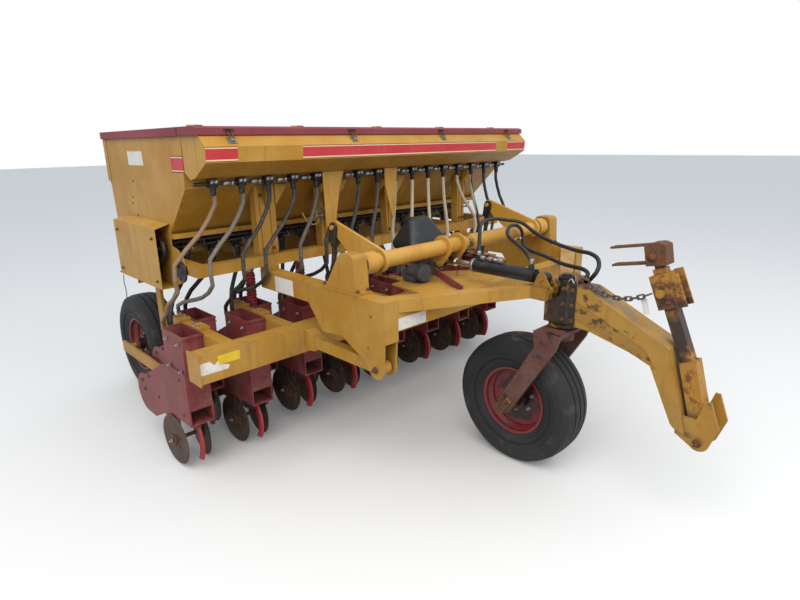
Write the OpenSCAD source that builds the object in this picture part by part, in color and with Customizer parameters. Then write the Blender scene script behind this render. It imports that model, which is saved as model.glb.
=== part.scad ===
// Pull-type no-till seed drill on three wheels.
// Lengths in millimetres. X points forwards, Y to the left, Z up, ground at z = 0.
// Places along X are written from the front axle and moved by x_shift at the end.

/* [Wheels] */
// Outer diameter of all three tyres
tyre_d = 756; // [700:2:800]
// Width of a tyre
tyre_w = 236; // [200:2:250]
// Diameter over the rim flanges
rim_flange_d = 418; // [400:1:430]
// Width over the rim flanges
rim_w = 178; // [150:1:190]
// Place of the rear axles behind the front axle
rear_axle_x = -2580; // [-2700:5:-2500]
// Sideways place of the rear wheels' middle
rear_wheel_y = 1150; // [1120:1:1170]
// Radius of the wheel axles
axle_r = 20; // [15:0.5:24]
// Running clearance of shafts in their bores
run_gap = 0.05; // [0.02:0.01:0.09]

/* [Caster and nose] */
// King post axis ahead of the front axle
king_x = 240; // [200:5:300]
// Radius of the king post
king_r = 40; // [35:1:45]
// Half the space between the fork legs
fork_half = 150; // [140:1:170]
// Thickness of a fork leg
fork_t = 25; // [15:1:30]
// Top of the fork crown
crown_z = 866; // [850:1:880]

/* [Main frame] */
// Top of the side beams
beam_top = 1110; // [1100:1:1120]
// Height of the side beams
beam_h = 108; // [90:1:115]
// Width of the side beams
beam_w = 90; // [70:1:110]
// Outer face of the side beams
beam_y = 930; // [900:1:960]
// Front end of the side beams
beam_front_x = -165; // [-200:5:-140]
// Rear end of the side beams
beam_rear_x = -1235; // [-1240:5:-1230]
// Height of the front cross beam
cross_h = 95; // [80:1:100]
// Thickness of the nose beams
nose_h = 60; // [50:1:70]
// Width of the nose beams
nose_w = 100; // [80:1:110]

/* [Hopper] */
// Half width of the hopper
hop_y = 1340; // [1300:5:1360]
// Wall thickness of the hopper and boxes
sheet_t = 4; // [3:0.5:6]
// Top edge of the hopper and the front box
hop_top = 1870; // [1850:5:1890]
// Thickness of the lids
lid_h = 42; // [30:1:50]

/* [Rockshaft] */
// Place of the rockshaft behind the front axle
rock_x = -430; // [-450:5:-400]
// Height of the rockshaft
rock_z = 1240; // [1220:1:1260]
// Radius of the rockshaft pipe
rock_r = 44; // [40:1:48]
// Sideways place of the rocker arms
rocker_y = 700; // [650:5:740]

/* [Seeding rows] */
// Number of rows
rows = 16; // [12:2:16]
// Spacing of the rows
row_pitch = 190.5; // [188:0.5:192]
// Diameter of a disc
disc_d = 305; // [290:1:310]
// Height of the disc axles when parked
disc_z = 232; // [225:1:240]
// Disc axle of the front rank
rank_x = -1360; // [-1370:5:-1350]
// How far the second rank stands behind the first
rank_step = 240; // [230:5:245]

/* [Hitch] */
// Half width of the tongue
tongue_y = 75; // [60:1:85]
// Pivot of the folding pole
pole_x = 975; // [965:5:985]
// Height of that pivot
pole_z = 497; // [490:1:510]
// Lean of the pole's lower box
pole_lean = 15.5; // [14:0.5:16]
// Lean of the pipe above it
pipe_lean = 22.5; // [21:0.5:23]
// Radius of the draw pin hole
draw_r = 16; // [12:0.5:18]

/* [Hidden] */

$fn = 48;
lug_front = 1050;
x_shift = (tyre_d / 2 - rear_axle_x - lug_front) / 2;
yellow = "#c8963c";
maroon = "#7a2a30";
red = "#a0212b";
dark = "#26221f";
rust = "#6b4a36";
seat = 0.3;
wheel_r = tyre_d / 2;
side_y = [-1, 1];

module place() { translate([x_shift, 0, 0]) children(); }
module bar(x0, x1, y0, y1, z0, z1) {
    translate([x0, y0, z0]) cube([x1 - x0, y1 - y0, z1 - z0]);
}
// A side view outline of X and Z points, as thick as y0 to y1
module plate(points, y0, y1) {
    translate([0, y1, 0]) rotate([90, 0, 0]) linear_extrude(y1 - y0) polygon(points);
}
// A round bar along Y
module rod_y(x, z, r, y0, y1) {
    translate([x, y1, z]) rotate([90, 0, 0]) cylinder(r = r, h = y1 - y0);
}
// Points of an arc about [cx, cz] from angle a0 to a1
function arc(cx, cz, r, a0, a1, n = 8) =
    [for (k = [0 : n]) [cx + r * cos(a0 + (a1 - a0) * k / n), cz + r * sin(a0 + (a1 - a0) * k / n)]];
function mid_y(i) = (i - (rows - 1) / 2) * row_pitch;

// Wheels

bead_r = rim_flange_d / 2 - 18;
module tyre_at(x, y) {
    half = tyre_w / 2;
    translate([x, y, wheel_r]) rotate([90, 0, 0]) rotate_extrude($fn = 64) difference() {
        polygon([[bead_r + seat, -70], [bead_r + 12, -88], [bead_r + 42, -half + 12],
                 [wheel_r - 84, -half], [wheel_r - 44, -half + 4], [wheel_r - 14, -half + 22],
                 [wheel_r - 3, -58], [wheel_r, 0], [wheel_r - 3, 58],
                 [wheel_r - 14, half - 22], [wheel_r - 44, half - 4], [wheel_r - 84, half],
                 [bead_r + 42, half - 12], [bead_r + 12, 88], [bead_r + seat, 70],
                 [bead_r + 20, 60], [wheel_r - 70, half - 22], [wheel_r - 30, half - 46],
                 [wheel_r - 24, 0], [wheel_r - 30, -half + 46], [wheel_r - 70, -half + 22],
                 [bead_r + 20, -60]]);
        for (groove = [-46, 0, 46]) translate([wheel_r - 10, groove - 5]) square([20, 10]);
    }
}
module rim_at(x, y, out) {
    // out is the side, -1 or 1, on which the hub shows
    translate([x, y, wheel_r]) rotate([90 * -out, 0, 0]) difference() {
        union() {
            rotate_extrude($fn = 64)
                polygon([[bead_r, -66], [bead_r - 16, -40], [bead_r - 16, 40], [bead_r, 66],
                         [bead_r, 84], [bead_r + 11, 89], [bead_r + 11, 92], [bead_r - 4, 89],
                         [bead_r - 4, 64], [bead_r - 22, 40], [bead_r - 22, 26],
                         [120, 14], [60, 14], [60, 6], [120, 6], [bead_r - 22, 14],
                         [bead_r - 22, -40], [bead_r - 4, -64], [bead_r - 4, -89],
                         [bead_r + 11, -92], [bead_r + 11, -89], [bead_r, -84]]);
            translate([0, 0, -60]) cylinder(r = 62, h = 120);
            translate([0, 0, 60]) cylinder(r = 44, h = 35);
        }
        translate([0, 0, -200]) cylinder(r = axle_r + run_gap, h = 400);
    }
}
module front_tyre() { color(dark) place() tyre_at(0, 0); }
module front_rim() { color(red) place() rim_at(0, 0, -1); }
module rear_right_tyre() { color(dark) place() tyre_at(rear_axle_x, -rear_wheel_y); }
module rear_right_rim() { color(red) place() rim_at(rear_axle_x, -rear_wheel_y, -1); }
module rear_left_tyre() { color(dark) place() tyre_at(rear_axle_x, rear_wheel_y); }
module rear_left_rim() { color(red) place() rim_at(rear_axle_x, rear_wheel_y, 1); }

// Caster fork and king post

fork_out = fork_half + fork_t;
module caster_fork() {
    color("#7a4038") place() difference() {
        union() {
            bar(king_x - 75, king_x + 75, -fork_out, fork_out, crown_z - 22, crown_z);
            translate([king_x, 0, crown_z - 70]) cylinder(r = 58, h = 70);
            for (s = side_y)
                plate(concat([[king_x - 75, crown_z - 22], [king_x - 66, crown_z - 90]],
                             arc(0, wheel_r, 46, 150, 315),
                             [[king_x + 52, crown_z - 90], [king_x + 75, crown_z - 22]]),
                      s < 0 ? -fork_out : fork_half, s < 0 ? -fork_half : fork_out);
        }
        rod_y(0, wheel_r, axle_r + seat, -fork_out - 1, fork_out + 1);
    }
}
module front_axle() {
    color(rust) place() {
        rod_y(0, wheel_r, axle_r, -fork_out - 20, fork_out + 20);
        rod_y(0, wheel_r, 34, -fork_out - 42, -fork_out - seat);
        rod_y(0, wheel_r, 34, fork_out + seat, fork_out + 42);
    }
}
module king_post() {
    color(dark) place() translate([king_x, 0, 0]) {
        translate([0, 0, crown_z]) cylinder(r = king_r, h = beam_top + 8 - crown_z);
        translate([0, 0, beam_top + 8 + seat]) cylinder(r = 46, h = 22, $fn = 6);
        translate([0, 0, beam_top]) cylinder(r = 24, h = 40);
    }
}

// Main frame

cross_top = beam_top - nose_h - 5;
cross_back = beam_front_x - 95;
pin_x = -225;
pin_z = 765;
skin_t = 10;
module side_beams() {
    z0 = beam_top - beam_h;
    color(yellow) place() for (s = side_y) {
        y0 = s < 0 ? -beam_y : beam_y - beam_w;
        y1 = y0 + beam_w;
        difference() {
            bar(beam_rear_x, beam_front_x, y0, y1, z0, beam_top);
            bar(beam_rear_x - 1, beam_rear_x + 300, y0 + skin_t, y1 - skin_t, z0 + skin_t, beam_top - skin_t);
        }
        bar(beam_front_x, beam_front_x + 8, y0, y1, 905, beam_top);
        for (y = [y0, y1 - skin_t]) difference() {
            union() {
                plate([[beam_front_x, z0], [beam_front_x, 905], [-640, 862], [-760, z0]], y, y + skin_t);
                plate(concat([[-480, 876.4], [beam_front_x, 905], [beam_front_x, 880]],
                             arc(pin_x, pin_z, 52, 0, -130), [[-310, 790]]), y, y + skin_t);
            }
            rod_y(pin_x, pin_z, 14, y - 1, y + skin_t + 1);
        }
    }
    color(rust) place() for (s = side_y)
        rod_y(pin_x, pin_z, 14, s < 0 ? -beam_y - 6 : beam_y - beam_w - 6,
              s < 0 ? -beam_y + beam_w + 6 : beam_y + 6);
}
deck_t = 10;
module front_crossbeam() {
    inner = beam_y - beam_w;
    color(yellow) place() {
        bar(cross_back, beam_front_x, -inner, inner, cross_top - cross_h, cross_top);
        translate([0, 0, cross_top - deck_t]) linear_extrude(deck_t)
            polygon([[cross_back, -520], [-590, -470], [-600, -60], [-470, 100], [cross_back, 250]]);
    }
}
nose_tip_x = king_x - 85;
module nose_beams() {
    inner = beam_y - beam_w;
    color(yellow) place() for (s = side_y) translate([0, 0, beam_top - 5 - nose_h])
        linear_extrude(nose_h)
            polygon([[beam_front_x - 110, s * inner], [beam_front_x, s * inner],
                     [nose_tip_x, s * 205], [nose_tip_x, s * 85]]);
}
module nose_housing() {
    z0 = crown_z + 8;
    color(yellow) place() difference() {
        union() {
            translate([king_x, 0, z0]) cylinder(r = 62, h = beam_top + 8 - z0);
            bar(nose_tip_x, king_x, -205, 205, beam_top - 5 - nose_h, beam_top - 5);
            bar(nose_tip_x, king_x + 62, -62, 62, z0 + 20, beam_top - 5 - nose_h);
            translate([king_x, 0, z0]) cylinder(r = 78, h = 18);
        }
        translate([king_x, 0, z0 - 1]) cylinder(r = king_r + run_gap, h = 400);
    }
    color(yellow) place() for (dy = [-32, 24]) difference() {
        plate(concat([[base_x - 50, beam_top - 5], [base_x + 60, beam_top - 5]],
                     arc(base_x, base_z, 28, 0, 180)),
              lever_y + dy, lever_y + dy + 8);
        rod_y(base_x, base_z, 12, lever_y - 60, lever_y + 60);
    }
    color(rust) place() rod_y(base_x, base_z, 12, lever_y - 40, lever_y + 40);
}
stand_y = 90;
module shaft_stands() {
    color(yellow) place() for (s = side_y) {
        difference() {
            plate(concat([[rock_x - 165, beam_top + 12], [rock_x + 70, beam_top + 12],
                          [rock_x + 60, rock_z + 40]], arc(rock_x + 36, rock_z + 42, 24, 0, 90, 4),
                         arc(rock_x - 30, rock_z + 42, 24, 90, 150, 4)),
                  s < 0 ? -beam_y : beam_y - stand_y, s < 0 ? -beam_y + stand_y : beam_y);
            rod_y(rock_x, rock_z, rock_r + run_gap, s < 0 ? -beam_y + skin_t : beam_y - stand_y - 1,
                  s < 0 ? -beam_y + stand_y + 1 : beam_y - skin_t);
        }
        bar(rock_x - 210, rock_x + 90, s < 0 ? -beam_y - 4 : beam_y - stand_y,
            s < 0 ? -beam_y + stand_y : beam_y + 4, beam_top, beam_top + 12);
    }
}

// Hopper and its carrier

hop_front = -1180;
hop_rear = -2340;
hop_low = 1310;
inner_rail_y = 825;
// The hopper's front wall stands above this height and slopes back below it
slope_top = hop_top - 266;
slope_foot = -1500;
function slope_z(x) = slope_top - (hop_front - 20 - x) * (slope_top - hop_low) / (hop_front - 20 - slope_foot);
function slope_x(z) = hop_front - 20 - (slope_top - z) * (hop_front - 20 - slope_foot) / (slope_top - hop_low);
module hopper_frame() {
    color(yellow) place() {
        bar(-1230, -1170, -hop_y, hop_y, 1138, 1200);
        bar(-2290, -2230, -hop_y, hop_y, 1138, 1200);
        for (s = side_y) for (y = [s * (hop_y - 30), s * inner_rail_y])
            bar(-2230, -1230, y - 30, y + 30, 1138, 1200);
        for (s = side_y)
            bar(-1230, -1170, s < 0 ? -beam_y : beam_y - beam_w, s < 0 ? -beam_y + beam_w : beam_y,
                beam_top, 1138);
        for (y = [-1000, 0, 1000]) bar(-2290, -2230, y - 30, y + 30, 1200, hop_low - 6);
    }
}
// Each post: its middle, half its width at the foot and at the top
posts = [[-880, 65, 65], [-430, 60, 70], [110, 30, 60], [880, 40, 45]];
module box_posts() {
    color(yellow) place() for (p = posts) {
        difference() {
            translate([-1202, p[0], 0]) rotate([90, 0, -90]) linear_extrude(60)
                polygon([[p[1], 1200], [-p[1], 1200], [-p[2], slope_top - 3], [p[2], slope_top - 3]]);
            plate([[-1262, slope_z(-1262) - seat], [-1202, slope_z(-1202) - seat], [-1202, slope_top + 96],
                   [-1262, slope_top + 96]],
                  p[0] - 80, p[0] + 80);
            bar(-1263, -1212, p[0] - p[1] + 12, p[0] + p[1] - 12, 1212, slope_top - 104);
        }
        for (y = [-p[1] * 0.5, p[1] * 0.5]) bar(-1202, -1194, p[0] + y - 5, p[0] + y + 5, 1200, slope_top - 6);
        plate([[-1202, slope_top - 124], [-1202, slope_top - 4], [-1130, slope_top - 4],
               [-1130, slope_top - 29]], p[0] - 6, p[0] + 6);
        translate([-1194, p[0] + p[2], 0]) rotate([90, 0, -90]) linear_extrude(8)
            polygon([[0, slope_top - 4], [0, slope_top - 124], [-90, slope_top - 4]]);
    }
}
hop_outline = [[hop_rear, hop_top], [hop_front, hop_top], [hop_front - 20, slope_top],
               [slope_foot, hop_low], [-1700, hop_low], [-1860, 1520], [-2020, hop_low],
               [-2200, hop_low], [hop_rear, slope_top - 4]];
lip = 14;
// Middles of the lid hinges, and the axes of both lids
knuckles = [-1240, -620, 0, 620, 1240];
rear_hinge_x = hop_rear - 22;
rear_hinge_z = hop_top - 4;
front_hinge_x = hop_front - 2;
front_hinge_z = hop_top + lid_h + 6;
module hopper() {
    slope = [[slope_x(1322) - 2.5, 1322], [slope_x(1350) - 2.5, 1350]];
    color(yellow) place() difference() {
        union() {
            plate(hop_outline, -hop_y + sheet_t, hop_y - sheet_t);
            for (s = side_y)
                plate([[hop_rear, hop_top], [hop_front, hop_top], [hop_front - 20, slope_top],
                       [slope_foot, hop_low], [-2300, hop_low]],
                      s < 0 ? -hop_y : hop_y - sheet_t, s < 0 ? -hop_y + sheet_t : hop_y);
            plate(concat(slope, [[-1425, 1350], [-1425, 1322]]), -hop_y, hop_y);
            bar(hop_rear - lip, hop_rear + 2, -hop_y, hop_y, hop_top - 26, hop_top);
            for (s = side_y)
                bar(hop_rear - lip, hop_rear + 40, s < 0 ? -hop_y - 3 : hop_y - 2,
                    s < 0 ? -hop_y + 2 : hop_y + 3, slope_top + 6, hop_top);
            bar(hop_front - 3, hop_front, -hop_y + 10, hop_y - 10, hop_top - 20, front_hinge_z - 8);
            for (y = knuckles) {
                rod_y(rear_hinge_x, rear_hinge_z, 3, y - 58, y + 26);
                rod_y(front_hinge_x, front_hinge_z, 3, y - 58, y + 26);
                rod_y(rear_hinge_x, rear_hinge_z, 7, y - 58, y - 22);
                bar(rear_hinge_x, hop_rear - lip + 2, y - 58, y - 22, rear_hinge_z - 7, rear_hinge_z);
                rod_y(front_hinge_x, front_hinge_z, 6, y - 58, y - 22);
                bar(hop_front - 3, hop_front, y - 58, y - 22, front_hinge_z - 20, front_hinge_z);
            }
        }
        plate([[hop_rear + sheet_t, hop_top + 1], [hop_front - sheet_t, hop_top + 1],
               [hop_front - 20 - sheet_t, slope_top + 4], [slope_foot - 4, hop_low + sheet_t],
               [-1697, hop_low + sheet_t], [-1860, 1527], [-2023, hop_low + sheet_t],
               [-2197, hop_low + sheet_t], [hop_rear + sheet_t, slope_top - 2]],
              -hop_y + sheet_t, hop_y - sheet_t);
    }
}
box_back = hop_front + 2;
box_floor = hop_top - 215;
module front_box() {
    color(yellow) place() difference() {
        plate([[box_back, hop_top], [-985, hop_top], [-925, hop_top - 55], [-932, hop_top - 130],
               [-1060, hop_top - 202], [-1120, box_floor], [box_back, hop_top - 180]], -hop_y, hop_y);
        plate([[box_back + sheet_t, hop_top + 1], [-990, hop_top + 1], [-930, hop_top - 57],
               [-937, hop_top - 127], [-1061, hop_top - 197], [-1119, box_floor + 5],
               [box_back + sheet_t, hop_top - 177]],
              -hop_y + sheet_t, hop_y - sheet_t);
    }
}
meter_x = [-1550, -2110];
spout_z = 1229;
module grain_meters() {
    color(dark) place() for (x = meter_x) {
        for (i = [0 : rows - 1]) translate([0, mid_y(i) * cup_share, 0]) {
            plate([[x - 40, hop_low], [x - 46, 1290], [x - 30, 1246], [x - 16, 1236], [x + 16, 1236],
                   [x + 30, 1246], [x + 46, 1290], [x + 40, hop_low]], -38, 38);
            translate([x, 0, spout_z]) cylinder(r = 17, h = 20);
        }
        rod_y(x, 1272, 9, -hop_y + 10, hop_y - 10);
    }
}
cup_x = -1118;
cup_low = box_floor - 53;
cup_axis = box_floor - 23;
module grass_meters() {
    color(dark) place() {
        for (i = [0 : rows - 1]) translate([cup_x, mid_y(i) * cup_share, 0]) {
            rod_y(0, cup_axis, 22, -24, 24);
            bar(-24, 24, -24, 24, cup_axis, box_floor - seat);
            translate([0, 0, cup_low]) rotate_extrude() polygon([[0, 0], [14, 0], [20, 18], [0, 18]]);
        }
        rod_y(cup_x, cup_axis, 9, -hop_y + 10, hop_y - 10);
    }
}
guard_y = 1430;
guard_front = -1455;
guard_rear = -2105;
module drive_guard() {
    profile = [[-guard_y, 1044], [-guard_y, 1386], [-hop_y - seat, 1409], [-hop_y - seat, 1044]];
    color(yellow) place() difference() {
        translate([guard_front, 0, 0]) rotate([90, 0, -90]) linear_extrude(guard_front - guard_rear)
            polygon([for (p = profile) [-p[0], p[1]]]);
        translate([guard_front + 1, 0, 0]) rotate([90, 0, -90])
            linear_extrude(guard_front - guard_rear - 3)
                polygon([[guard_y - 4, 1048], [guard_y - 4, 1382], [hop_y + 4, 1405], [hop_y + 4, 1048]]);
    }
    color(yellow) place() bar(guard_rear - 60, guard_front - 30, -guard_y + 10, -hop_y - seat, 1036, 1044);
}
// Shafts of the drive: X, Z, pitch radius, teeth
sprockets = [[-1530, 1262, 62, 15], [-1690, 1120, 46, 11]];
chain_t = 7;
module sprocket(x, z, r, teeth) {
    translate([x, 0, z]) rotate([90, 0, 0]) {
        linear_extrude(5, center = true) union() {
            circle(r = r - 5);
            for (k = [0 : teeth - 1]) rotate(k * 360 / teeth)
                polygon([[0, -6], [r - 6, -6], [r + 4, -2], [r + 4, 2], [r - 6, 6], [0, 6]]);
        }
        cylinder(r = 24, h = 22, center = true);
    }
}
module drive_sprockets() {
    a = sprockets[0];
    b = sprockets[1];
    run = norm([a[0] - b[0], a[1] - b[1]]);
    lean = atan2(a[1] - b[1], a[0] - b[0]);
    turn = acos((a[2] - b[2]) / run);
    color(dark) place() translate([0, -hop_y - 46, 0]) {
        for (p = sprockets) sprocket(p[0], p[1], p[2], p[3]);
        rotate([90, 0, 0]) linear_extrude(12, center = true) difference() {
            polygon(concat(arc(a[0], a[1], a[2] + chain_t, lean + turn, lean - turn, 20),
                           arc(b[0], b[1], b[2] + chain_t, lean - turn, lean + turn - 360, 16)));
            polygon(concat(arc(a[0], a[1], a[2] - 3, lean + turn, lean - turn, 20),
                           arc(b[0], b[1], b[2] - 3, lean - turn, lean + turn - 360, 16)));
        }
    }
    color(dark) place() {
        rod_y(a[0], a[1], 14, -hop_y - 68, -hop_y - 4.3);
        rod_y(b[0], b[1], 14, -hop_y - 68, -hop_y - 4.3);
    }
}
drum_x = -515;
drum_y = -330;
drum_z = cross_top + 56;
module drive_gearbox() {
    color("#4a4d52") place() {
        translate([drum_x - 40, drum_y, drum_z]) rotate([0, 90, 0]) rotate_extrude()
            polygon([[0, 0], [44, 0], [44, 60], [54, 64], [54, 92], [46, 104], [0, 106]]);
        bar(drum_x - 70, drum_x + 20, drum_y - 48, drum_y + 48, cross_top, drum_z - 18);
        bar(drum_x - 95, drum_x - 40, drum_y - 30, drum_y + 210, cross_top, cross_top + 70);
        bar(drum_x - 90, drum_x - 50, drum_y + 40, drum_y + 160, cross_top + 70, 1215);
    }
}
module drive_cover() {
    color(dark) place() translate([drum_x - 70, drum_y + 100, 0]) hull() {
        for (x = [-70, 45]) for (y = [-110, 120]) translate([x, y, 1255])
            rotate_extrude($fn = 24) intersection() { circle(r = 40); translate([0, -40]) square([40, 80]); }
        for (y = [-40, 40]) translate([-20, y, 1350])
            rotate_extrude($fn = 24) intersection() { circle(r = 55); translate([0, -55]) square([55, 110]); }
    }
}
module wheel_arms() {
    color(yellow) place() for (s = side_y) {
        y0 = s < 0 ? -hop_y : hop_y - 18;
        plate([[rear_axle_x - 60, wheel_r + 40], [rear_axle_x - 60, wheel_r - 40],
               [-1740, wheel_r - 40], [-1740, 1138], [-1810, 1138], [-1810, wheel_r + 40]],
              y0, y0 + 18);
        rod_y(rear_axle_x, wheel_r, axle_r, s < 0 ? -hop_y + 18 : rear_wheel_y - 110,
              s < 0 ? -rear_wheel_y + 110 : hop_y - 18);
    }
}

// Tongue, fixed to the nose

pin_r = 13;
lug_y = 61;
module tongue() {
    lug = concat([[865, 600], [872, 505]], arc(pole_x, pole_z, 46, 225, 330, 6),
                 [[lug_front, 580], [1006, 700], [985, 700], [955, 600]]);
    color(yellow) place() {
        plate([[king_x + 62, 905], [king_x + 62, beam_top - 5], [390, beam_top - 5], [808, 900],
               [886, 633], [918, 512], [865, 530], [850, 545], [724, 815], [420, 895]],
              -tongue_y, tongue_y);
        for (s = side_y) difference() {
            plate(lug, s * lug_y - 6, s * lug_y + 6);
            rod_y(pole_x, pole_z, pin_r, -90, 90);
        }
    }
    color(rust) place() {
        rod_y(pole_x, pole_z, pin_r, -tongue_y - 8, tongue_y + 8);
        translate([chain_from[0] + 7, chain_from[1] - 0.8, beam_top - 10]) cylinder(r = 4.4, h = 80);
    }
}
// Frame of the folding pole: Z runs up along its lower box from the pivot
module pole_frame() {
    translate([pole_x, 0, pole_z]) rotate([0, -pole_lean, 0]) children();
}
pole_r = 33;
box_len = 365;
pipe_half = 28;
pipe_len = 468;
// The collar ends below the top of the pipe
collar_z = pipe_len - 186;
pipe_foot = [-4, box_len - 30];
module pipe_frame() {
    pole_frame() translate([pipe_foot[0], 0, pipe_foot[1]]) rotate([0, pole_lean - pipe_lean, 0]) children();
}
// Place of a point that is given in the pipe's frame
function pipe_point(x, y, z) = [
    pole_x + pipe_foot[0] * cos(pole_lean) - pipe_foot[1] * sin(pole_lean)
        + x * cos(pipe_lean) - z * sin(pipe_lean),
    y,
    pole_z + pipe_foot[0] * sin(pole_lean) + pipe_foot[1] * cos(pole_lean)
        + x * sin(pipe_lean) + z * cos(pipe_lean)];
module hitch_pole() {
    place() difference() {
        union() {
            color(yellow) pole_frame() translate([-36, -40, -10]) cube([72, 80, box_len + 10]);
            color(yellow) pole_frame() translate([0, 50, 0]) rotate([90, 0, 0]) cylinder(r = 34, h = 100);
            color(rust) pipe_frame() translate([-pipe_half, -pipe_half, 0])
                cube([2 * pipe_half, 2 * pipe_half, pipe_len]);
            color(yellow) pipe_frame() translate([-46, -46, collar_z]) cube([92, 92, 160]);
            color(yellow) pipe_frame() for (y = [-42, 32])
                translate([40, y, collar_z - 5]) cube([40, 10, 170]);
        }
        pole_frame() translate([0, 60, 0]) rotate([90, 0, 0]) cylinder(r = pin_r + run_gap, h = 120);
    }
    color("#77777a") place() pipe_frame()
        translate([-12, -46, collar_z + 76]) rotate([90, 0, 0]) cylinder(r = 21, h = 18);
}
// Frame of the hitch head: its plates lie flat in it, nose towards -X
head_tilt = 11;
tine_gap = 84;
tine_t = 10;
neck_h = 12;
module head_frame() {
    place() pipe_frame() translate([0, 0, pipe_len + neck_h - 2]) rotate([0, pipe_lean - head_tilt, 0])
        children();
}
module hitch_head() {
    color(rust) place() pipe_frame() translate([0, 0, pipe_len]) cylinder(r = 24, h = neck_h + 20);
    color(rust) head_frame() difference() {
        union() {
            intersection() {
                translate([-46, -46, 6]) cube([92, 92, 104]);
                translate([0, 50, 40]) rotate([90, 0, 0]) cylinder(r = 72, h = 100);
            }
            for (z = [12, 12 + tine_gap]) difference() {
                translate([-212, -30, z]) cube([190, 60, tine_t]);
                translate([-186, 0, z - 1]) cylinder(r = draw_r, h = tine_t + 2);
            }
        }
    }
}

// Chain that holds the folded pole: it hangs from the nose to the pole's boss
link_d = 8;
link_r = 9;
link_half = 11;
link_pitch = 31.4;
chain_from = [318, -45, 1171];
chain_to = pipe_point(-48.5, -66, collar_z + 86);
chain_sag = 66;
links = 13;
function chain_at(t) = [chain_from[0] + (chain_to[0] - chain_from[0]) * t,
                        chain_from[1] + (chain_to[1] - chain_from[1]) * t,
                        chain_from[2] + (chain_to[2] - chain_from[2]) * t - 4 * chain_sag * t * (1 - t)];
module link() {
    for (s = side_y) translate([s * link_half, 0, 0]) rotate([0, 0, s > 0 ? -90 : 90])
        rotate_extrude(angle = 180, $fn = 24) translate([link_r, 0]) circle(r = link_d / 2, $fn = 16);
    for (s = side_y) translate([-link_half, s * link_r, 0]) rotate([0, 90, 0])
        cylinder(r = link_d / 2, h = 2 * link_half, $fn = 16);
}
module safety_chain() {
    color(rust) place() for (k = [0 : links - 1]) {
        t = (k + 0.5) / links;
        step = chain_at(t + 0.01) - chain_at(t - 0.01);
        translate(chain_at(t)) rotate([0, -atan2(step[2], norm([step[0], step[1]])), atan2(step[1], step[0])])
            rotate([k % 2 * 90, 0, 0]) link();
    }
}

// Lids

module rear_lid() {
    color("#a0404a") place() difference() {
        union() {
            bar(hop_rear - 6, hop_front - 8, -hop_y - 16, hop_y + 16, hop_top + seat, hop_top + lid_h);
            for (y = knuckles) {
                rod_y(rear_hinge_x, rear_hinge_z, 7, y - 20, y + 20);
                bar(rear_hinge_x - 3, hop_rear - 4, y - 20, y + 20, rear_hinge_z + 5, rear_hinge_z + 10);
            }
        }
        for (y = knuckles) rod_y(rear_hinge_x, rear_hinge_z, 3.05, y - 24, y + 24);
    }
}
module front_lid() {
    color("#a0404a") place() difference() {
        union() {
            plate([[hop_front + 2, hop_top + seat], [-975, hop_top + seat], [-975, hop_top + 32],
                   [-1000, hop_top + lid_h], [hop_front + 2, hop_top + lid_h]], -hop_y - 16, hop_y + 16);
            for (y = knuckles) {
                rod_y(front_hinge_x, front_hinge_z, 6, y - 20, y + 20);
                bar(front_hinge_x, hop_front + 18, y - 20, y + 20, hop_top + lid_h - 2, hop_top + lid_h + 3);
            }
        }
        for (y = knuckles) rod_y(front_hinge_x, front_hinge_z, 3.05, y - 24, y + 24);
    }
}

// Rockshaft, cylinder and lift rods

arm_x = -785;
arm_z = 1378;
arm_t = 20;
lever_y = -150;
lever_x = -450;
lever_z = 1150;
lever_gap = 65;
module rockshaft() {
    color(yellow) place() {
        rod_y(rock_x, rock_z, rock_r, -beam_y + 12, beam_y - 12);
        for (s = side_y) difference() {
            plate(concat(arc(arm_x, arm_z, 34, 60, 250), [[-640, 1225], [rock_x - 20, rock_z - 60]],
                         arc(rock_x, rock_z, 62, -60, 75)),
                  s * rocker_y - arm_t / 2, s * rocker_y + arm_t / 2);
            rod_y(arm_x, arm_z, 13, s * rocker_y - 60, s * rocker_y + 60);
        }
        for (dy = [-lever_gap, lever_gap]) difference() {
            plate(concat(arc(rock_x, rock_z, 68, -30, 215, 14), arc(lever_x, lever_z, 26, 200, 340)),
                  lever_y + dy - 6, lever_y + dy + 6);
            rod_y(lever_x, lever_z, 12, lever_y - 90, lever_y + 90);
        }
    }
    color(dark) place() for (s = side_y)
        rod_y(rock_x, rock_z, 56, s * (rocker_y + 85) - 40, s * (rocker_y + 85) + 40);
    color(rust) place() {
        for (s = side_y) rod_y(arm_x, arm_z, 13, s * rocker_y - 36, s * rocker_y + 36);
        rod_y(lever_x, lever_z, 12, lever_y - 84, lever_y + 84);
    }
}
rod_low_z = 880;
low_x = -865;
clevis_in = 13;
clevis_out = 25;
rod_len = norm([arm_x - low_x, arm_z - rod_low_z]);
rod_slope = atan2(arm_x - low_x, arm_z - rod_low_z);
module lift_rods() {
    color(dark) place() for (s = side_y) translate([low_x, s * rocker_y, rod_low_z])
        rotate([0, rod_slope, 0]) for (end = [0, 1]) translate([0, 0, end * rod_len])
            rotate([end * 180, 0, 0]) difference() {
                union() {
                    for (y = [-clevis_out, clevis_in]) {
                        translate([0, y + 12, 0]) rotate([90, 0, 0]) cylinder(r = 28, h = 12);
                        translate([-28, y, 0]) cube([56, 12, 70]);
                    }
                    translate([-28, -clevis_out, 66]) cube([56, 2 * clevis_out, 24]);
                    translate([0, 0, 88]) cylinder(r = 15, h = rod_len / 2 - 88);
                    translate([0, 0, 90]) cylinder(r = 24, h = 20, $fn = 6);
                }
                translate([0, 60, 0]) rotate([90, 0, 0])
                    cylinder(r = end == 1 ? 13.1 : 18, h = 120);
            }
}
base_x = 200;
base_z = 1150;
cyl_len = norm([base_x - lever_x, base_z - lever_z]);
cyl_slope = atan2(base_z - lever_z, base_x - lever_x);
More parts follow.
